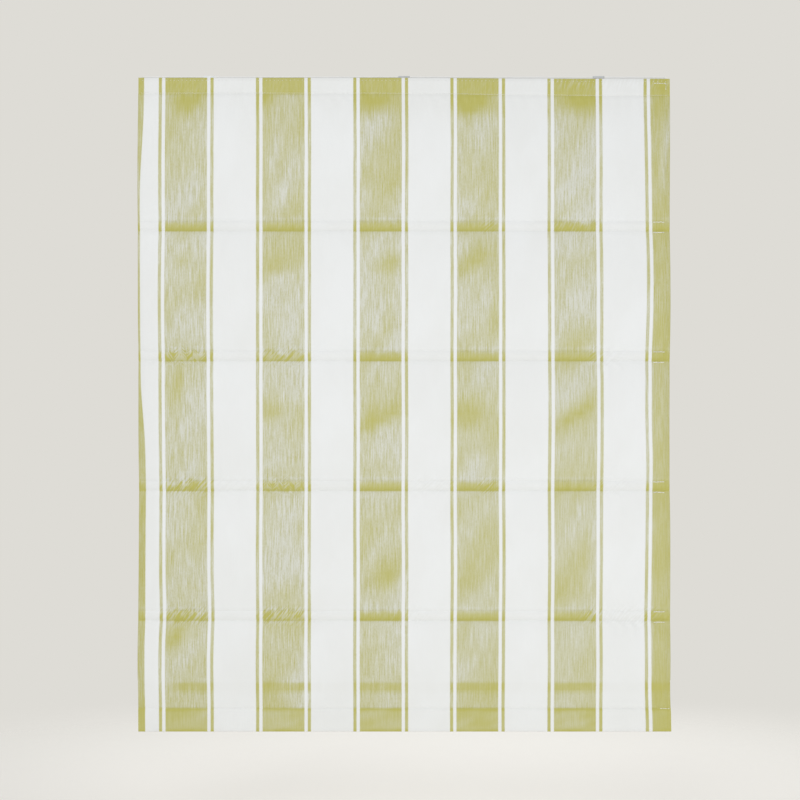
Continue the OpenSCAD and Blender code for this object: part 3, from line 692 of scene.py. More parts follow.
def striped_silk(scene):
    """Silk whose stripes follow the flat cloth: distance to the nearest group's middle, stepped at each
    stripe's edge. The green is a mix of the deep green and the pale green of a painted sheen, by the painted
    sheen and painted shade on the mesh and long slub streaks down the warp, and the puckers paint strokes of
    light and shade on it where it is tight."""
    w, c = scene.blind_stripes, scene.blind_colours
    n = Finish("striped_silk")
    place = n.on_cloth()
    across, along = n.split(place)
    across = n.plus(across, n.scaled(n.grain(place, (700, 160, 1)), 1.2 * MM, -0.6 * MM))
    off = n.sums("PINGPONG", n.sums("SUBTRACT", across, w.shift), w.repeat / 2)
    half, e = w.wide / 2, w.fuzz
    inner, outer = half + w.gap, half + w.gap + w.line
    wide = n.ramp(off, half + e, half - e)
    line = n.times(n.ramp(off, inner - e, inner + e), n.ramp(off, outer + e, outer - e))
    edge = w.sliver - scene.blind_sizes.width / 2
    green = n.highest(n.highest(wide, line), n.ramp(across, edge + e, edge - e))

    shade, tight, lean, calm = (n.add("Attribute", out=2, attribute_name=mark) for mark in MARKS)
    slant = n.add("CombineXYZ", {0: n.plus(across, lean), 1: along})
    # Puckering: slanted strokes where the stitching draws tight, painted on the colours as light and shade,
    # and raised in the bump
    puckering = n.times(n.ramp(n.grain(slant, (200, 34, 1)), 0.38, 0.62, -0.5, 0.5), tight)
    slub = n.ramp(n.grain(place, (500, 17, 1), 3.0, 0.6), 0.37, 0.66)
    hair = n.grain(place, (1000, 30, 1), 3.0, 0.6)
    weft = n.grain(place, (60, 1700, 1))
    fleck = n.grain(place, (420, 180, 1), 3.0, 0.7)
    patch = n.grain(place, (150, 45, 1))
    streak = n.scaled(slub, 0.72, -0.36)
    for part, size in ((hair, 1.6), (fleck, 1.2), (patch, 0.6)):
        streak = n.plus(streak, n.scaled(part, size, -size / 2))

    # Tone from deep to pale green: the mesh's painted sheen and shade, slub streaks that show more where the
    # sheen is painted, and the puckers' painted light and shade, a little lower in the thin lines. The glint
    # is a painted highlight on the slubs where the sheen is painted.
    show = n.times(n.scaled(shade, 0.78, 0.12), n.scaled(calm, -0.5, 1.0))
    tone = n.scaled(puckering, 0.62, n.scaled(streak, show, shade))
    tone = n.times(tone, n.scaled(line, -0.2, 1.0), clamp=True)
    glint = n.scaled(n.times(streak, show), 0.13, 1.0)
    greens = n.mix(tone, tuple(c.deep), tuple(c.pale))
    greens = n.add("VectorMath", {0: greens, "Scale": glint}, operation="SCALE")
    # The white darkens towards a warm dim white as painted shade, and brightens with the mesh's painted sheen
    # and the puckers' painted light; soft random clouds pull it towards the dim white
    dim = tuple(share * v for share, v in zip((0.955, 0.95, 0.935), c.white))
    bright = n.scaled(streak, 0.08, n.scaled(puckering, 0.9, 0.55))
    bright = n.plus(bright, n.ramp(shade, 0.0, 0.9, 0.0, 0.5))
    cloud = n.ramp(n.grain(place, (9, 5, 1), 3.0), 0.35, 0.65, -0.42, 0.0)
    whites = n.mix(n.plus(bright, cloud, clamp=True), dim, tuple(c.white))
    weave = n.scaled(puckering, 3.0, n.plus(n.plus(hair, weft), n.times(slub, 0.8)))
    return n.embossed(
        weave, 0.12 * MM, 0.5,
        Base_Color=n.mix(green, whites, greens), Roughness=n.ramp(slub, 0.0, 1.0, 0.58, 0.46),
        Specular_IOR_Level=0.3, Sheen_Weight=0.06, Sheen_Roughness=0.4,
    )


def woven(name, tint, warp, weft, depth, ribs=0.0):
    """Plain woven cotton: two rows of fine waves crossed on the cloth's own map, with soft slubs."""
    n = Finish(name)
    place = n.on_cloth()
    counts = zip(n.split(place), (warp, weft))
    plain = n.times(*[n.sums("SINE", n.times(way, 2 * math.pi * count)) for way, count in counts])
    slub = n.grain(place, (150, 45, 1), 3.0)
    share = n.scaled(slub, 0.8, n.scaled(n.grain(place, (9, 5, 1)), 0.7, -0.25), clamp=True)
    share = n.scaled(plain, 0.12 + ribs, share, clamp=True)
    return n.embossed(
        n.scaled(slub, 0.7, plain), depth, 0.5,
        Base_Color=n.mix(share, tinted(tint, 0.90), tuple(tint)),
        Roughness=n.ramp(slub, 0.2, 0.8, 0.9, 0.72),
        Specular_IOR_Level=0.2, Sheen_Weight=0.1, Sheen_Roughness=0.5,
    )


def braided(name, tint, strands, pitch):
    """Braid: two sets of strands that wind opposite ways round the cord, one sine each on turn and run."""
    n = Finish(name)
    turn, run = n.split(n.on_cloth())
    turn = n.times(turn, 2 * math.pi * strands)
    run = n.times(run, 2 * math.pi / pitch)
    lay = n.highest(n.sums("SINE", n.plus(turn, run)), n.sums("SINE", n.sums("SUBTRACT", turn, run)))
    lay = n.scaled(lay, 0.5, 0.5)
    fibre = n.grain(n.on_object(), (2600, 2600, 900))
    share = n.times(lay, n.scaled(fibre, 0.5, 0.7), clamp=True)
    return n.embossed(
        lay, 0.15 * MM, 0.7,
        Base_Color=n.mix(share, tinted(tint, 0.78), tuple(tint)),
        Roughness=n.ramp(fibre, 0.2, 0.8, 0.7, 0.55),
        Specular_IOR_Level=0.3,
    )


def moulded(name, tint, rough, texture=900, metal=0.0, depth=0.02, brushed=(1, 1, 1), wear=0.06):
    """Solid finish on the piece's own place: a fine texture, broad uneven gloss and a rubbed tint."""
    n = Finish(name)
    place = n.on_object()
    fine = n.grain(place, tuple(texture * b for b in brushed), 3.0)
    broad = n.grain(place, tuple(18 * b for b in brushed), 3.0)
    share = n.scaled(fine, 0.5, n.times(broad, 0.5), clamp=True)
    return n.embossed(
        fine, depth * MM, 0.5,
        Base_Color=n.mix(share, tinted(tint, 1 - 2 * wear), tinted(tint, 1 + wear)),
        Roughness=n.ramp(broad, 0.25, 0.75, rough * 0.85, min(1.0, rough * 1.2)),
        Metallic=metal, Specular_IOR_Level=0.45,
    )


def piled(name, tint):
    """Pile of a grip tape: small loops or hooks as a cell pattern on the tape's own place."""
    n = Finish(name)
    place = n.on_object()
    cell = n.add("TexVoronoi", {"Vector": place, "Scale": 900.0})
    loose = n.grain(place, (260, 260, 260), 3.0)
    share = n.scaled(loose, 0.6, n.times(cell, 0.5), clamp=True)
    return n.embossed(
        cell, 0.4 * MM, 0.8,
        Base_Color=n.mix(share, tinted(tint, 0.72), tuple(tint)),
        Roughness=n.ramp(loose, 0.2, 0.8, 0.95, 0.75),
        Specular_IOR_Level=0.2,
    )


def silk(scene):
    return bpy.data.materials.get("striped_silk") or striped_silk(scene)


class BlindStep:
    """What each step needs: the cut, the drape and the colours, from the scene's settings."""

    bl_options = {"REGISTER", "UNDO"}

    def prepare(self, context):
        self.scene = context.scene
        self.cut = Cut(context.scene.blind_sizes)
        self.drape = Drape(self.cut)
        self.colours = context.scene.blind_colours

    def on_seams(self, d):
        """The rows that lie on the pockets' stitch lines."""
        return np.flatnonzero((np.abs(d.reshape(-1, 1) - self.cut.seams) < 0.001 * MM).any(1))

    def zones(self, d):
        """The panels and pockets in turn from the top: each one's number, name, rows of faces and fall."""
        at = np.searchsorted(self.cut.seams, between(d[:, 0]))
        for zone in range(2 * RODS + 1):
            name = f"{'pocket' if zone % 2 else 'panel'}_{zone // 2 + 1}"
            rows = at == zone
            yield zone, name, rows[:, None], float(np.diff(d[:, 0])[rows].sum())

    def hang(self, piece, zone):
        """A pocket rides on its rod, drawn in by a hair at its stitch lines to stay clear of the panels
        beside it, and a panel gets its own copy of its mesh."""
        k = zone // 2
        if zone % 2 == 0:
            return draw_up(piece, self.cut, k)
        to_middle = Matrix.Translation((0, 0, self.cut.level(self.cut.mid[k])))
        fit = Matrix.Diagonal((1, 1, 1 - 2 * HAIR / self.cut.s.pocket, 1))
        piece.data.transform(to_middle @ fit @ to_middle.inverted())
        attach(piece, f"rod_{k + 1}")
        return piece

    def openings(self, d, x, depth, tall):
        """Which faces of a grid lie within a height of a depth and within the opening's width of a cord."""
        beside = np.abs(between(x)[:, None] - self.cut.cord_x) < OPENING
        return (np.abs(between(d) - depth) < tall)[:, None] & beside.any(1)


class FaceCloth(BlindStep, bpy.types.Operator):
    """Striped silk: panels and rod pockets with their side hems, the heading, the hem and its flap"""

    bl_idname = "roman_blind.face_cloth"
    bl_label = "Face cloth"

    def sheet(self, name, mid, x, d, flat=None, keep=None):
        """Silk piece from its middle surface, with the flat place and the marks of each grid point."""
        points, faces, at = slab(mid, self.cut.s.silk, keep, self.on_seams(d))
        x, d = np.broadcast_arrays(x, d)
        uv = placed(self.drape.flat(x, d) if flat is None else flat, d).reshape(-1, 2)[at]
        marks = {mark: getattr(self.drape, mark)(x, d).reshape(-1)[at] for mark in MARKS}
        return add_piece(name, points, faces, silk(self.scene), "headrail", "silk", uv, **marks)

    def carried(self, x, d, y, level):
        """Middle surface of a path carried across the width, swaying at the sides."""
        return placed(x + self.drape.sway(x, d), y, level)

    def creases(self, x, d, front):
        """The drape's relief where the silk faces the room, dying away from 14 to 1 mm off its sides."""
        edge = step(np.abs(x), self.cut.half - 1 * MM, self.cut.half - 14 * MM)
        return self.drape.relief(x, d) * front * edge

    def panels(self):
        """Grid over depth and flat width: the front at the plain line plus its relief, then a half turn of
        the fold's radius at each side, and the side hem straight back behind it. It is parted at the
        pockets' stitch lines."""
        cut, drape, s = self.cut, self.drape, self.cut.s
        r = cut.turn_off / 2
        flat_side = cut.half - r
        turned = flat_side + np.pi * r
        back = np.linspace(turned, turned + s.side_hem - r, 6)[1:]
        one = np.concatenate([flat_side + np.pi * r * np.arange(1, 6) / 5, back])
        u = np.concatenate([-one[::-1], np.linspace(-flat_side, flat_side, COLUMNS["panel"]), one])[None]
        d = rows_between([s.heading, *cut.seams, cut.hem_top, cut.hem_line], 17 * MM, 3.4 * MM)[:, None]
        past = np.clip(np.abs(u) - flat_side, 0, None)
        angle = np.clip(past / r, 0, np.pi)
        straight = np.clip(past - np.pi * r, 0, None)
        x = np.where(past > 0, np.sign(u) * (flat_side + r * np.sin(angle) - straight), u)
        near = np.clip(x, -flat_side, flat_side)
        y = cut.face + cut.line(d) + self.creases(near, d, past == 0) + r * (1 - np.cos(angle))
        mid = self.carried(x, d, y, drape.level(near, d))
        hemmed = (past > 0) & (d > cut.hem_top - 1.5 * MM)
        keep = ~(hemmed[1:, 1:] | hemmed[1:, :-1])
        front = np.clip(u, -cut.half, cut.half)
        flat = drape.flat(front, d) + u - front
        for zone, name, rows, fall in self.zones(d):
            piece = self.sheet(f"silk_{name}", mid, front, d, flat, keep & rows)
            yield self.hang(piece, zone), fall

    def heading(self):
        """Path carried across the width: up behind, a half turn over the top, and down the front to its
        stitch line."""
        cut, s = self.cut, self.cut.s
        r = cut.turn_off / 2
        crown = (cut.turn_off + s.silk) / 2
        bend = np.linspace(0, np.pi, 9)
        d, y, front = joined(
            (np.linspace(s.heading - 2 * MM, crown, 6)[:-1], cut.face + 2 * r, 0),
            (crown - r * np.sin(bend), cut.face + r + r * np.cos(bend), step(bend, 0, np.pi)),
            (np.linspace(crown, s.heading, 15)[1:], cut.face, 1),
        )
        x = np.linspace(-cut.half, cut.half, COLUMNS["heading"])[None]
        mid = self.carried(x, d, y + self.creases(x, d, front), self.drape.level(x, d))
        return self.sheet("silk_heading", mid, x, d)

    def hem(self):
        """Path carried across the width: down the front, a half turn under the bar and up behind to the
        stitch line, with an opening at each cord anchor."""
        cut, s = self.cut, self.cut.s
        anchor = cut.top - centre_of("cord_anchors")[2]
        r = cut.hem_r
        centre = s.drop - r - s.silk / 2
        eased = cut.hem_line + cut.hem_ease
        fall = rows_between([cut.hem_line, eased, centre], 5 * MM, 3 * MM)
        bend = np.linspace(0, np.pi, 13)[1:-1]
        rise = snapped(np.linspace(eased, centre, 14), [anchor - OPENING, anchor + OPENING])[::-1]
        d, y, front = joined(
            (fall, cut.face + cut.line(fall), 1),
            (centre + r * np.sin(bend), cut.bar_y - r * np.cos(bend), step(bend, np.pi / 2, 0)),
            (rise, cut.bar_y + r, 0),
            (np.array([cut.hem_line]), cut.face + cut.back_off, 0),
        )
        x = snapped(np.linspace(-cut.half, cut.half, COLUMNS["hem"]), cut.cord_edges)[None]
        mid = self.carried(x, d, y + self.creases(x, d, front), cut.level(d))
        behind = np.arange(len(d) - 1) >= len(fall) + len(bend)
        gone = self.openings(d[:, 0], x[0], anchor, OPENING) & behind[:, None]
        piece = self.sheet("silk_hem", mid, x, d, keep=~gone)
        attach(piece, "bottom_bar")
        return piece

    def flap(self):
        """Path carried across the width: up behind the lining from the hem's stitch line, over a tight
        fold, and the raw edge tucked down inside. It sags back by a random field where it is loose."""
        cut, s = self.cut, self.cut.s
        r = (cut.back_off - cut.turn_off) / 2
        fold = cut.hem_top + 1 * MM
        bend = np.linspace(0, np.pi, 7)[1:-1]
        d, off, loose = joined(
            (np.linspace(cut.hem_line, fold, 12), cut.back_off, 1),
            (fold - 0.4 * MM - r * np.sin(bend), (cut.back_off + cut.turn_off) / 2 + r * np.cos(bend), 0),
            (np.linspace(fold, cut.hem_top + s.tuck, 5), cut.turn_off, 0),
        )
        x = np.linspace(-cut.half, cut.half, COLUMNS["flap"])[None]
        loose = loose * step(d, cut.hem_line, cut.hem_line - 30 * MM)
        loose = loose * step(d, cut.hem_top + 2 * MM, cut.hem_top + 12 * MM)
        sag = 0.5 * MM * (1 + field(x / 0.16, d / 0.09, s.seed + 21)) * loose
        y = cut.face + cut.line(np.minimum(d, cut.hem_line - 0.001 * MM)) + off + sag
        mid = self.carried(x, d, y, cut.level(d))
        return draw_up(self.sheet("silk_turn_up", mid, x, d), cut, RODS)

    def execute(self, context):
        self.prepare(context)
        heading, hem, flap = self.heading(), self.hem(), self.flap()
        going_with = {"silk_panel_1": [heading], f"silk_panel_{RODS + 1}": [hem, flap]}
        for piece, fall in self.panels():
            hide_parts("face_fabric")
            others = going_with.get(piece.name, [])
            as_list(others)
        for piece in (heading, hem, flap):
            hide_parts("face_fabric")
        return {"FINISHED"}


class Lining(BlindStep, bpy.types.Operator):
    """Cotton lining behind the silk, tucked under the side hems and the heading"""

    bl_idname = "roman_blind.lining"
    bl_label = "Lining"

    def execute(self, context):
        """Grid over depth and width on the cloth's own line, one layer back, with slack upright creases
        behind, and parted at the pockets' stitch lines."""
        self.prepare(context)
        cut, s = self.cut, self.cut.s
        half = cut.half - s.silk - 0.3 * MM
        d = rows_between([s.heading - 6 * MM, *cut.seams, cut.hem_line - 4 * MM], 22 * MM, 5 * MM)[:, None]
        x = np.linspace(-half, half, COLUMNS["lining"])[None]
        free = humps(d, cut.panel_top + 8 * MM, np.minimum(cut.panel_low, cut.hem_top) - 8 * MM)
        slack = 1 + field(x / 0.07 + 0.25 * d / 0.07, d / 0.35, s.seed + 31)
        edge = cut.half - s.side_hem
        inside = step(np.abs(x), edge - 4 * MM, edge - 30 * MM)
        y = cut.face + cut.line(d) + cut.lining_off + 1.1 * MM * slack * free * inside
        mid = placed(x, y, cut.level(d))
        flat = placed(x, d).reshape(-1, 2)
        cotton = woven("lining_cotton", self.colours.lining, 1100, 1000, 0.10 * MM)
        for zone, name, rows, fall in self.zones(d):
            points, faces, at = slab(mid, s.lining, rows, self.on_seams(d))
            piece = add_piece(f"lining_{name}", points, faces, cotton, "headrail", "lining", flat[at])
            self.hang(piece, zone)
            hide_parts("lining")
        return {"FINISHED"}


class PocketTapes(BlindStep, bpy.types.Operator):
    """Woven tapes sewn behind the lining that hold the rods, with an opening at each cord eye"""

    bl_idname = "roman_blind.pocket_tapes"
    bl_label = "Pocket tapes"

    def execute(self, context):
        """Profile carried along X: a flat foot on the lining at both ends of an arch over the rod."""
        self.prepare(context)
        cut, s = self.cut, self.cut.s
        cotton = woven("pocket_tape", self.colours.tape, 900, 700, 0.16 * MM, 0.08)
        tall, foot = 5.5 * MM, 3.2 * MM * np.array([0.5, 1])
        base = cut.face + cut.turn_off - s.silk / 2 + s.tape / 2
        for k in range(RODS):
            low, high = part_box(f"rod_tape_{k + 1}")
            top, end = cut.high[k], cut.low[k]
            rod = cut.top - centre_of(f"rod_tips_{k + 1}")[2]
            arch = np.sort([rod - tall, rod + tall, *np.linspace(top, end, 21)])
            d = np.concatenate([top - foot[::-1], arch, end + foot])
            q = np.clip((d - top - 0.5 * MM) / (s.pocket - MM), 0, 1)
            rise = high.y - s.tape / 2 - base - s.pinch / 4
            drawn = np.where((q > 0) & (q < 1), s.pinch * q**2, cut.line(d))
            y = base + drawn + rise * (1 - (2 * q - 1) ** 4)
            x = snapped(np.linspace(low.x, high.x, COLUMNS["tape"]), cut.cord_edges)
            wave = 0.25 * MM * self.drape.wander(x, 0.03, k, 61)
            on_foot = (d < top) | (d > end)
            mid = placed(x, y[:, None], cut.level(d)[:, None] + on_foot[:, None] * wave)
            points, faces, at = slab(mid, s.tape, ~self.openings(d, x, rod, tall))
            uv = placed(x, d[:, None]).reshape(-1, 2)[at]
            piece = add_piece(f"pocket_tape_{k + 1}", points, faces, cotton, f"rod_{k + 1}", "tape", uv)
            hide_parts(f"rod_tape_{k + 1}")
        return {"FINISHED"}


class Stitching(BlindStep, bpy.types.Operator):
    """Machine stitches of the heading, pockets and hem, and the hand-sewn bars at the right side"""

    bl_idname = "roman_blind.stitching"
    bl_label = "Stitching"

    def row(self, start, end, line, pitch, jitter, stream):
        """Stitch places along a line, pitch and jitter in mm: even steps with a little random wander."""
        rng = np.random.default_rng(self.cut.s.seed + stream)
        n = int((end - start) / (pitch * MM))
        along = start + (np.arange(n) + 0.5) * (end - start) / n
        return np.array([along + rng.normal(0, jitter * MM, n), line + rng.normal(0, jitter * MM, n)])

    def sew(self, name, places, size, width, material, body, upright=False, matched=False, behind=False):
        """Stitches of a size and width in mm, level or upright, on the front of the silk or behind on the
        feet of the tapes. Matched ones are of the silk's own colours, with its painted sheen and painted
        shade made a little paler."""
        cut, drape, s = self.cut, self.drape, self.cut.s
        x, d = places
        y = cut.face + cut.line(d)
        if behind:
            centres = placed(x, y + cut.turn_off - s.silk / 2 + s.tape, cut.level(d))
        else:
            y = y + drape.relief(x, d) - s.silk / 2
            centres = placed(x + drape.sway(x, d), y, drape.level(x, d))
        along = (0, 0, 1) if upright else (1, 0, 0)
        points, faces = stitch_row(centres, along, (0, 1 if behind else -1, 0), size * MM, width * MM)
        repeats = STITCH_RINGS * STITCH_SIDES
        uv = np.repeat(placed(x if behind else drape.flat(x, d), d), repeats, axis=0)
        # Matched stitches carry the silk's painted sheen and painted shade, a little paler
        marks = {"shade": np.repeat(drape.shade(x, d) + 0.1, repeats)} if matched else {}
        slot = "tape" if behind else "silk"
        return add_piece(name, points, faces, material, body, slot, uv, sharp=80, **marks)

    def execute(self, context):
        self.prepare(context)
        cut, s = self.cut, self.cut.s
        white = braided("sewing_thread", self.colours.thread, 2, 0.9 * MM)
        end = cut.half - 5 * MM
        rows = self.row(-end, end, 6 * MM, 9.0, 0.25, 70)
        self.sew("heading_prick_stitches", rows, 3.0, 0.7, white, "headrail")
        rows = self.row(-end, end, s.heading - 1.2 * MM, 3.6, 0.12, 71)
        self.sew("heading_line_stitches", rows, 3.0, 0.7, white, "headrail")
        hem = cut.half - s.side_hem
        for k in range(RODS):
            lines = ((cut.high[k], 72 + k), (cut.low[k], 72 + RODS + k))
            rows = np.hstack([self.row(-hem, hem, line, 4.2, 0.1, stream) for line, stream in lines])
            name, rod = f"pocket_stitches_{k + 1}", f"rod_{k + 1}"
            self.sew(name, rows, 3.2, 0.45, silk(self.scene), rod, matched=True)
        rows = self.row(-end, end, cut.hem_line + 1 * MM, 4.2, 0.1, 90)
        self.sew("hem_stitches", rows, 3.2, 0.45, silk(self.scene), "bottom_bar", matched=True)
        self.side_bars(white)
        self.back_of_tapes(white)
        return {"FINISHED"}

    def side_bars(self, white):
        """Hand-sewn bars at the right side: in and below each pocket, at the hem, and at the top corner."""
        cut = self.cut
        near, far = cut.half - 37 * MM, cut.half - 12 * MM
        for k in range(RODS):
            rows = self.row(near, far, cut.high[k] + 1.9 * MM, 5.0, 0.2, 95 + k)
            self.sew(f"upper_bar_stitches_{k + 1}", rows, 5.6, 1.8, white, f"rod_{k + 1}")
            rows = self.row(near, far, cut.low[k] + 4 * MM, 5.0, 0.3, 95 + RODS + k)
            draw_up(self.sew(f"lower_bar_stitches_{k + 1}", rows, 5.6, 1.8, white, "headrail"), cut, k + 1)
        rows = self.row(cut.half - 24 * MM, cut.half - 3 * MM, cut.hem_line + 0.5 * MM, 5.0, 0.3, 110)
        self.sew("hem_bar_stitches", rows, 5.4, 1.3, white, "bottom_bar")
        rows = self.row(cut.half - 36 * MM, cut.half - 8 * MM, 10 * MM, 4.8, 0.25, 111)
        self.sew("corner_bar_stitches", rows, 5.2, 1.4, white, "headrail")
        rows = self.row(10 * MM, 24 * MM, cut.half - 9 * MM, 4.4, 0.25, 112)[::-1]
        self.sew("corner_side_stitches", rows, 4.6, 1.2, white, "headrail", upright=True)

    def back_of_tapes(self, white):
        """Bobbin side of the pocket stitching, on the feet of the tapes."""
        cut = self.cut
        for k in range(RODS):
            low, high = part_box(f"rod_tape_{k + 1}")
            start, end = low.x + 3 * MM, high.x - 3 * MM
            lines = enumerate((cut.high[k] - 1.5 * MM, cut.low[k] + 1.5 * MM))
            rows = np.hstack([self.row(start, end, line, 4.2, 0.1, 120 + 2 * k + i) for i, line in lines])
            self.sew(f"tape_stitches_{k + 1}", rows, 3.2, 0.5, white, f"rod_{k + 1}", behind=True)


class LiftCords(BlindStep, bpy.types.Operator):
    """Braided cords from the spools through the eyes to the bottom bar, and their turns on the drums"""

    bl_idname = "roman_blind.lift_cords"
    bl_label = "Lift cords"

    def execute(self, context):
        """Straight run down from the drum, and a helix on each drum that starts where the run ends."""
        self.prepare(context)
        cut = self.cut
        braid = braided("lift_cord_braid", self.colours.cord, 4, 1.6 * MM)
        z = np.linspace(SHAFT.z, cut.cord_low, 90)
        turn = np.linspace(0, 2 * np.pi * DRUM_TURNS, 130)
        for k, cord_x in enumerate(cut.cord_x):
            points, faces, uv = tube(placed(cord_x, cut.cord_y, z), CORD_R, 10)
            run = add_piece(f"lift_cord_run_{k + 1}", points, faces, braid, "headrail", "cord", uv, sharp=60)
            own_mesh(run)
            x = cord_x + 2 * CORD_R * turn / (2 * np.pi)
            path = placed(x, SHAFT.y - DRUM_R * np.cos(turn), SHAFT.z + DRUM_R * np.sin(turn))
            points, faces, uv = tube(path, CORD_R, 8)
            turns = add_piece(f"lift_cord_turns_{k + 1}", points, faces, braid, "drive", "cord", uv, sharp=60)
            for piece in (run, turns):
                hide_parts(f"lift_cord_{k + 1}")
        return {"FINISHED"}


class LiftSpring(BlindStep, bpy.types.Operator):
    """Close-wound torsion spring on the drive shaft"""

    bl_idname = "roman_blind.lift_spring"
    bl_label = "Lift spring"

    def execute(self, context):
        """Helix of wire round the shaft's line, one wire's width for each turn."""
        self.prepare(context)
        low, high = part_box("lift_spring")
        wire = 2 * MM
        turns = int((high.x - low.x) / wire) - 1
        turn = np.linspace(0, 2 * np.pi * turns, turns * 18)
        radius = (high.z - low.z) / 2 - wire / 2
        x = np.linspace(low.x + wire / 2, high.x - wire / 2, len(turn))
        path = placed(x, SHAFT.y + radius * np.cos(turn), SHAFT.z + radius * np.sin(turn))
        points, faces, uv = tube(path, 0.485 * wire, 7)
        finish = moulded("spring_wire", self.colours.steel, 0.34, 700, metal=1.0, depth=0.01)
        piece = add_piece("lift_spring_wire", points, faces, finish, "headrail", "steel", uv, sharp=60)
        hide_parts("lift_spring")
        return {"FINISHED"}


class GripTapes(BlindStep, bpy.types.Operator):
    """Hook tape on the headrail and loop tape on the heading, with their pile"""

    bl_idname = "roman_blind.grip_tapes"
    bl_label = "Grip tapes"

    def execute(self, context):
        """Flat strip whose outer side carries a random pile between two woven edges."""
        self.prepare(context)
        for kind, front, pile in (("hook", -1, 0.25), ("loop", 1, 0.4)):
            low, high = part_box(f"{kind}_tape")
            depth = high.y - low.y
            x = np.linspace(low.x, high.x, COLUMNS["grip"])[None]
            z = np.linspace(high.z, low.z, 21)[:, None]
            inside = step(np.minimum(high.z - z, z - low.z), 1 * MM, 2.5 * MM)
            bumps = 0.5 + 0.5 * field(x / 0.0035, z / 0.002, self.cut.s.seed + 81)
            t = depth * (0.62 + inside * pile * bumps)
            carrier = low.y if front > 0 else high.y
            points, faces, _ = slab(placed(x, carrier + front * t / 2, z), 0.55 * depth)
            grip = piled(f"{kind}_strip_pile", tinted(self.colours.tape, 0.96))
            piece = add_piece(f"{kind}_strip", points, faces, grip, "headrail", "grip")
            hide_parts(f"{kind}_tape")
        return {"FINISHED"}


class Hardware(BlindStep, bpy.types.Operator):
    """Finishes of the headrail, fixing clips, drive, rods and bottom bar"""

    bl_idname = "roman_blind.hardware"
    bl_label = "Hardware finishes"

    def execute(self, context):
        """Each node that still shows takes the finish of the longest listed name that its own begins with."""
        self.prepare(context)
        c = self.colours
        coat = moulded("powder_coat", c.rail, 0.42, 1400, depth=0.05, wear=0.03)
        plastic = moulded("white_plastic", c.plastic, 0.46, 1900, depth=0.02, wear=0.03)
        clear = moulded("milky_plastic", tinted(c.plastic, 0.97), 0.3, 800, depth=0.01, wear=0.03)
        dark = moulded("dark_plastic", c.dark, 0.5, 1500, depth=0.03, wear=0.08)
        satin = moulded("satin_aluminium", c.metal, 0.36, 900, 1.0, 0.01, (0.02, 1, 1))
        zinc = moulded("zinc_steel", c.steel, 0.55, 240, 1.0, 0.01, wear=0.10)
        glass = moulded("glass_fibre", tinted(c.plastic, 0.93), 0.35, 1600, 0.0, 0.02, (0.03, 1, 1), 0.05)
        finishes = {
            "headrail": coat, "end_cap": plastic, "end_cap_screws": zinc, "fixing_clip": zinc,
            "drive_shaft": satin, "spring_driver": dark, "spring_anchor": dark, "bottom_bar": satin,
            "bar_caps": plastic, "cord_anchors": clear, "cord_stops": plastic, "rod_tips": plastic,
            "rod_clips": clear, "rod": glass, "cord_spool": plastic, "spool_cradle": plastic,
        }
        for name, node in frame["nodes"].items():
            if node.hide_render:
                continue
            kind = max((k for k in finishes if name.startswith(k)), key=len)
            node.data.materials.clear()
            node.data.materials.append(finishes[kind])
        return {"FINISHED"}


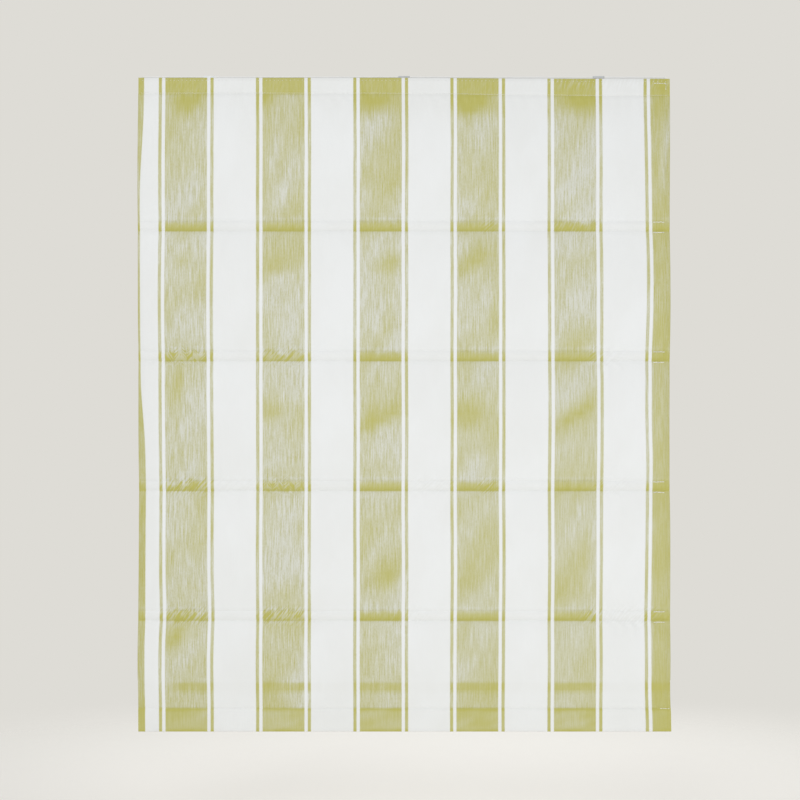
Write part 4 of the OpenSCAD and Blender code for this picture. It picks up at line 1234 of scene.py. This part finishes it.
class Stage(BlindStep, bpy.types.Operator):
    """Camera square to the cloth, soft lamps before and behind it, a pale floor and a plain background"""

    bl_idname = "roman_blind.stage"
    bl_label = "Stage"

    def execute(self, context):
        self.prepare(context)
        self.scene.view_settings.view_transform = "Standard"
        self.camera()
        self.lamp("key_lamp", (-1.2, -4.8, 0.7), 2.4, 89)
        self.lamp("fill_lamp", (1.4, -3.8, -1.6), 2.6, 42.5)
        self.lamp("back_lamp", (0.6, 3.4, 0.8), 2.6, 95)
        self.background()
        self.floor()
        return {"FINISHED"}

    def camera(self):
        """Level camera square to the cloth, with a lens that takes in the given width there."""
        across, distance, sensor = 1.808, 4.8, 36
        data = bpy.data.cameras.new("photo_camera")
        data.sensor_width = sensor
        data.lens = sensor * distance / across
        camera = bpy.data.objects.new("photo_camera", data)
        camera.location = (-0.009, self.cut.face - distance, -0.7325)
        camera.rotation_euler = (math.pi / 2, 0, 0)
        self.scene.collection.objects.link(camera)
        self.scene.camera = camera

    def lamp(self, name, place, size, power):
        """Round soft lamp aimed at the middle of the cloth."""
        data = bpy.data.lights.new(name, "AREA")
        data.shape, data.size, data.energy = "DISK", size, power
        lamp = bpy.data.objects.new(name, data)
        lamp.location = place
        aim = Vector((0, 0, self.cut.level(self.cut.s.drop / 2))) - Vector(place)
        lamp.rotation_euler = aim.to_track_quat("-Z", "Y").to_euler()
        self.scene.collection.objects.link(lamp)

    def background(self):
        """Even grey light, seen as the room's colour by the camera, in gloss and through clear things."""
        light = (0.41, 0.41, 0.41)
        world = bpy.data.worlds.new("plain_room")
        self.scene.world = world
        world.use_nodes = True
        n = Nodes(world.node_tree)
        ray = n.add("LightPath").node.outputs
        seen = n.highest(n.highest(ray["Is Camera Ray"], ray["Is Glossy Ray"]), ray["Is Transmission Ray"])
        n.put(n.mix(seen, light, tuple(self.colours.room)), n.tree.nodes["Background"].inputs["Color"])

    def floor(self):
        """Flat disc of rings below the blind, which fades into the background towards its edge."""
        edge, rings, sides, below = 2.6, 40, 72, 0.25
        turn = np.linspace(0, 2 * np.pi, sides + 1)[None, :-1]
        out = edge * np.linspace(0.002, 1, rings)[:, None]
        points = placed(out * np.cos(turn), out * np.sin(turn), self.cut.level(self.cut.s.drop) - below)
        i, quads = ringed(rings, sides)
        mesh = bpy.data.meshes.new("floor")
        mesh.from_pydata(points.reshape(-1, 3).tolist(), [], [*quads.tolist(), i[0].tolist()])
        n = Finish("pale_floor")
        n.set(Base_Color=(*self.colours.floor, 1.0), Roughness=0.9, Specular_IOR_Level=0.1)
        flat = n.add("VectorMath", {0: n.on_object(), 1: (1, 1, 0)}, operation="MULTIPLY")
        far = n.add("VectorMath", {0: flat}, out=1, operation="LENGTH")
        fade = {0: n.ramp(far, 0.9, 2.5), 1: n.surface.outputs[0], 2: n.add("BsdfTransparent")}
        n.put(n.add("MixShader", fade), n.tree.nodes["Material Output"].inputs["Surface"])
        mesh.materials.append(n.material)
        floor = bpy.data.objects.new("floor", mesh)
        self.scene.collection.objects.link(floor)


STEPS = (Stage, FaceCloth, Lining, PocketTapes, Stitching, LiftCords, LiftSpring, GripTapes, Hardware)


class BlindPanel(bpy.types.Panel):
    """Lists the steps that dress the blind, with its sizes and colours"""

    bl_idname = "VIEW3D_PT_roman_blind"
    bl_label = "Roman Blind"
    bl_space_type = "VIEW_3D"
    bl_region_type = "UI"
    bl_category = "Roman Blind"

    def draw(self, context):
        for made in STEPS:
            self.layout.operator(made.bl_idname, text=made.bl_label)
        for group in (context.scene.blind_sizes, context.scene.blind_stripes, context.scene.blind_colours):
            box = self.layout.box()
            for key in group.__annotations__:
                box.prop(group, key)


CLASSES = (BlindSizes, StripeSizes, BlindColours, *STEPS, BlindPanel)


def register():
    for made in CLASSES:
        bpy.utils.register_class(made)
    bpy.types.Scene.blind_sizes = PointerProperty(type=BlindSizes)
    bpy.types.Scene.blind_stripes = PointerProperty(type=StripeSizes)
    bpy.types.Scene.blind_colours = PointerProperty(type=BlindColours)


def unregister():
    del bpy.types.Scene.blind_sizes, bpy.types.Scene.blind_stripes, bpy.types.Scene.blind_colours
    for made in reversed(CLASSES):
        bpy.utils.unregister_class(made)


def main():
    register()
    for made in STEPS:
        getattr(bpy.ops.roman_blind, made.bl_idname.split(".")[1])()


if __name__ == "__main__":
    main()
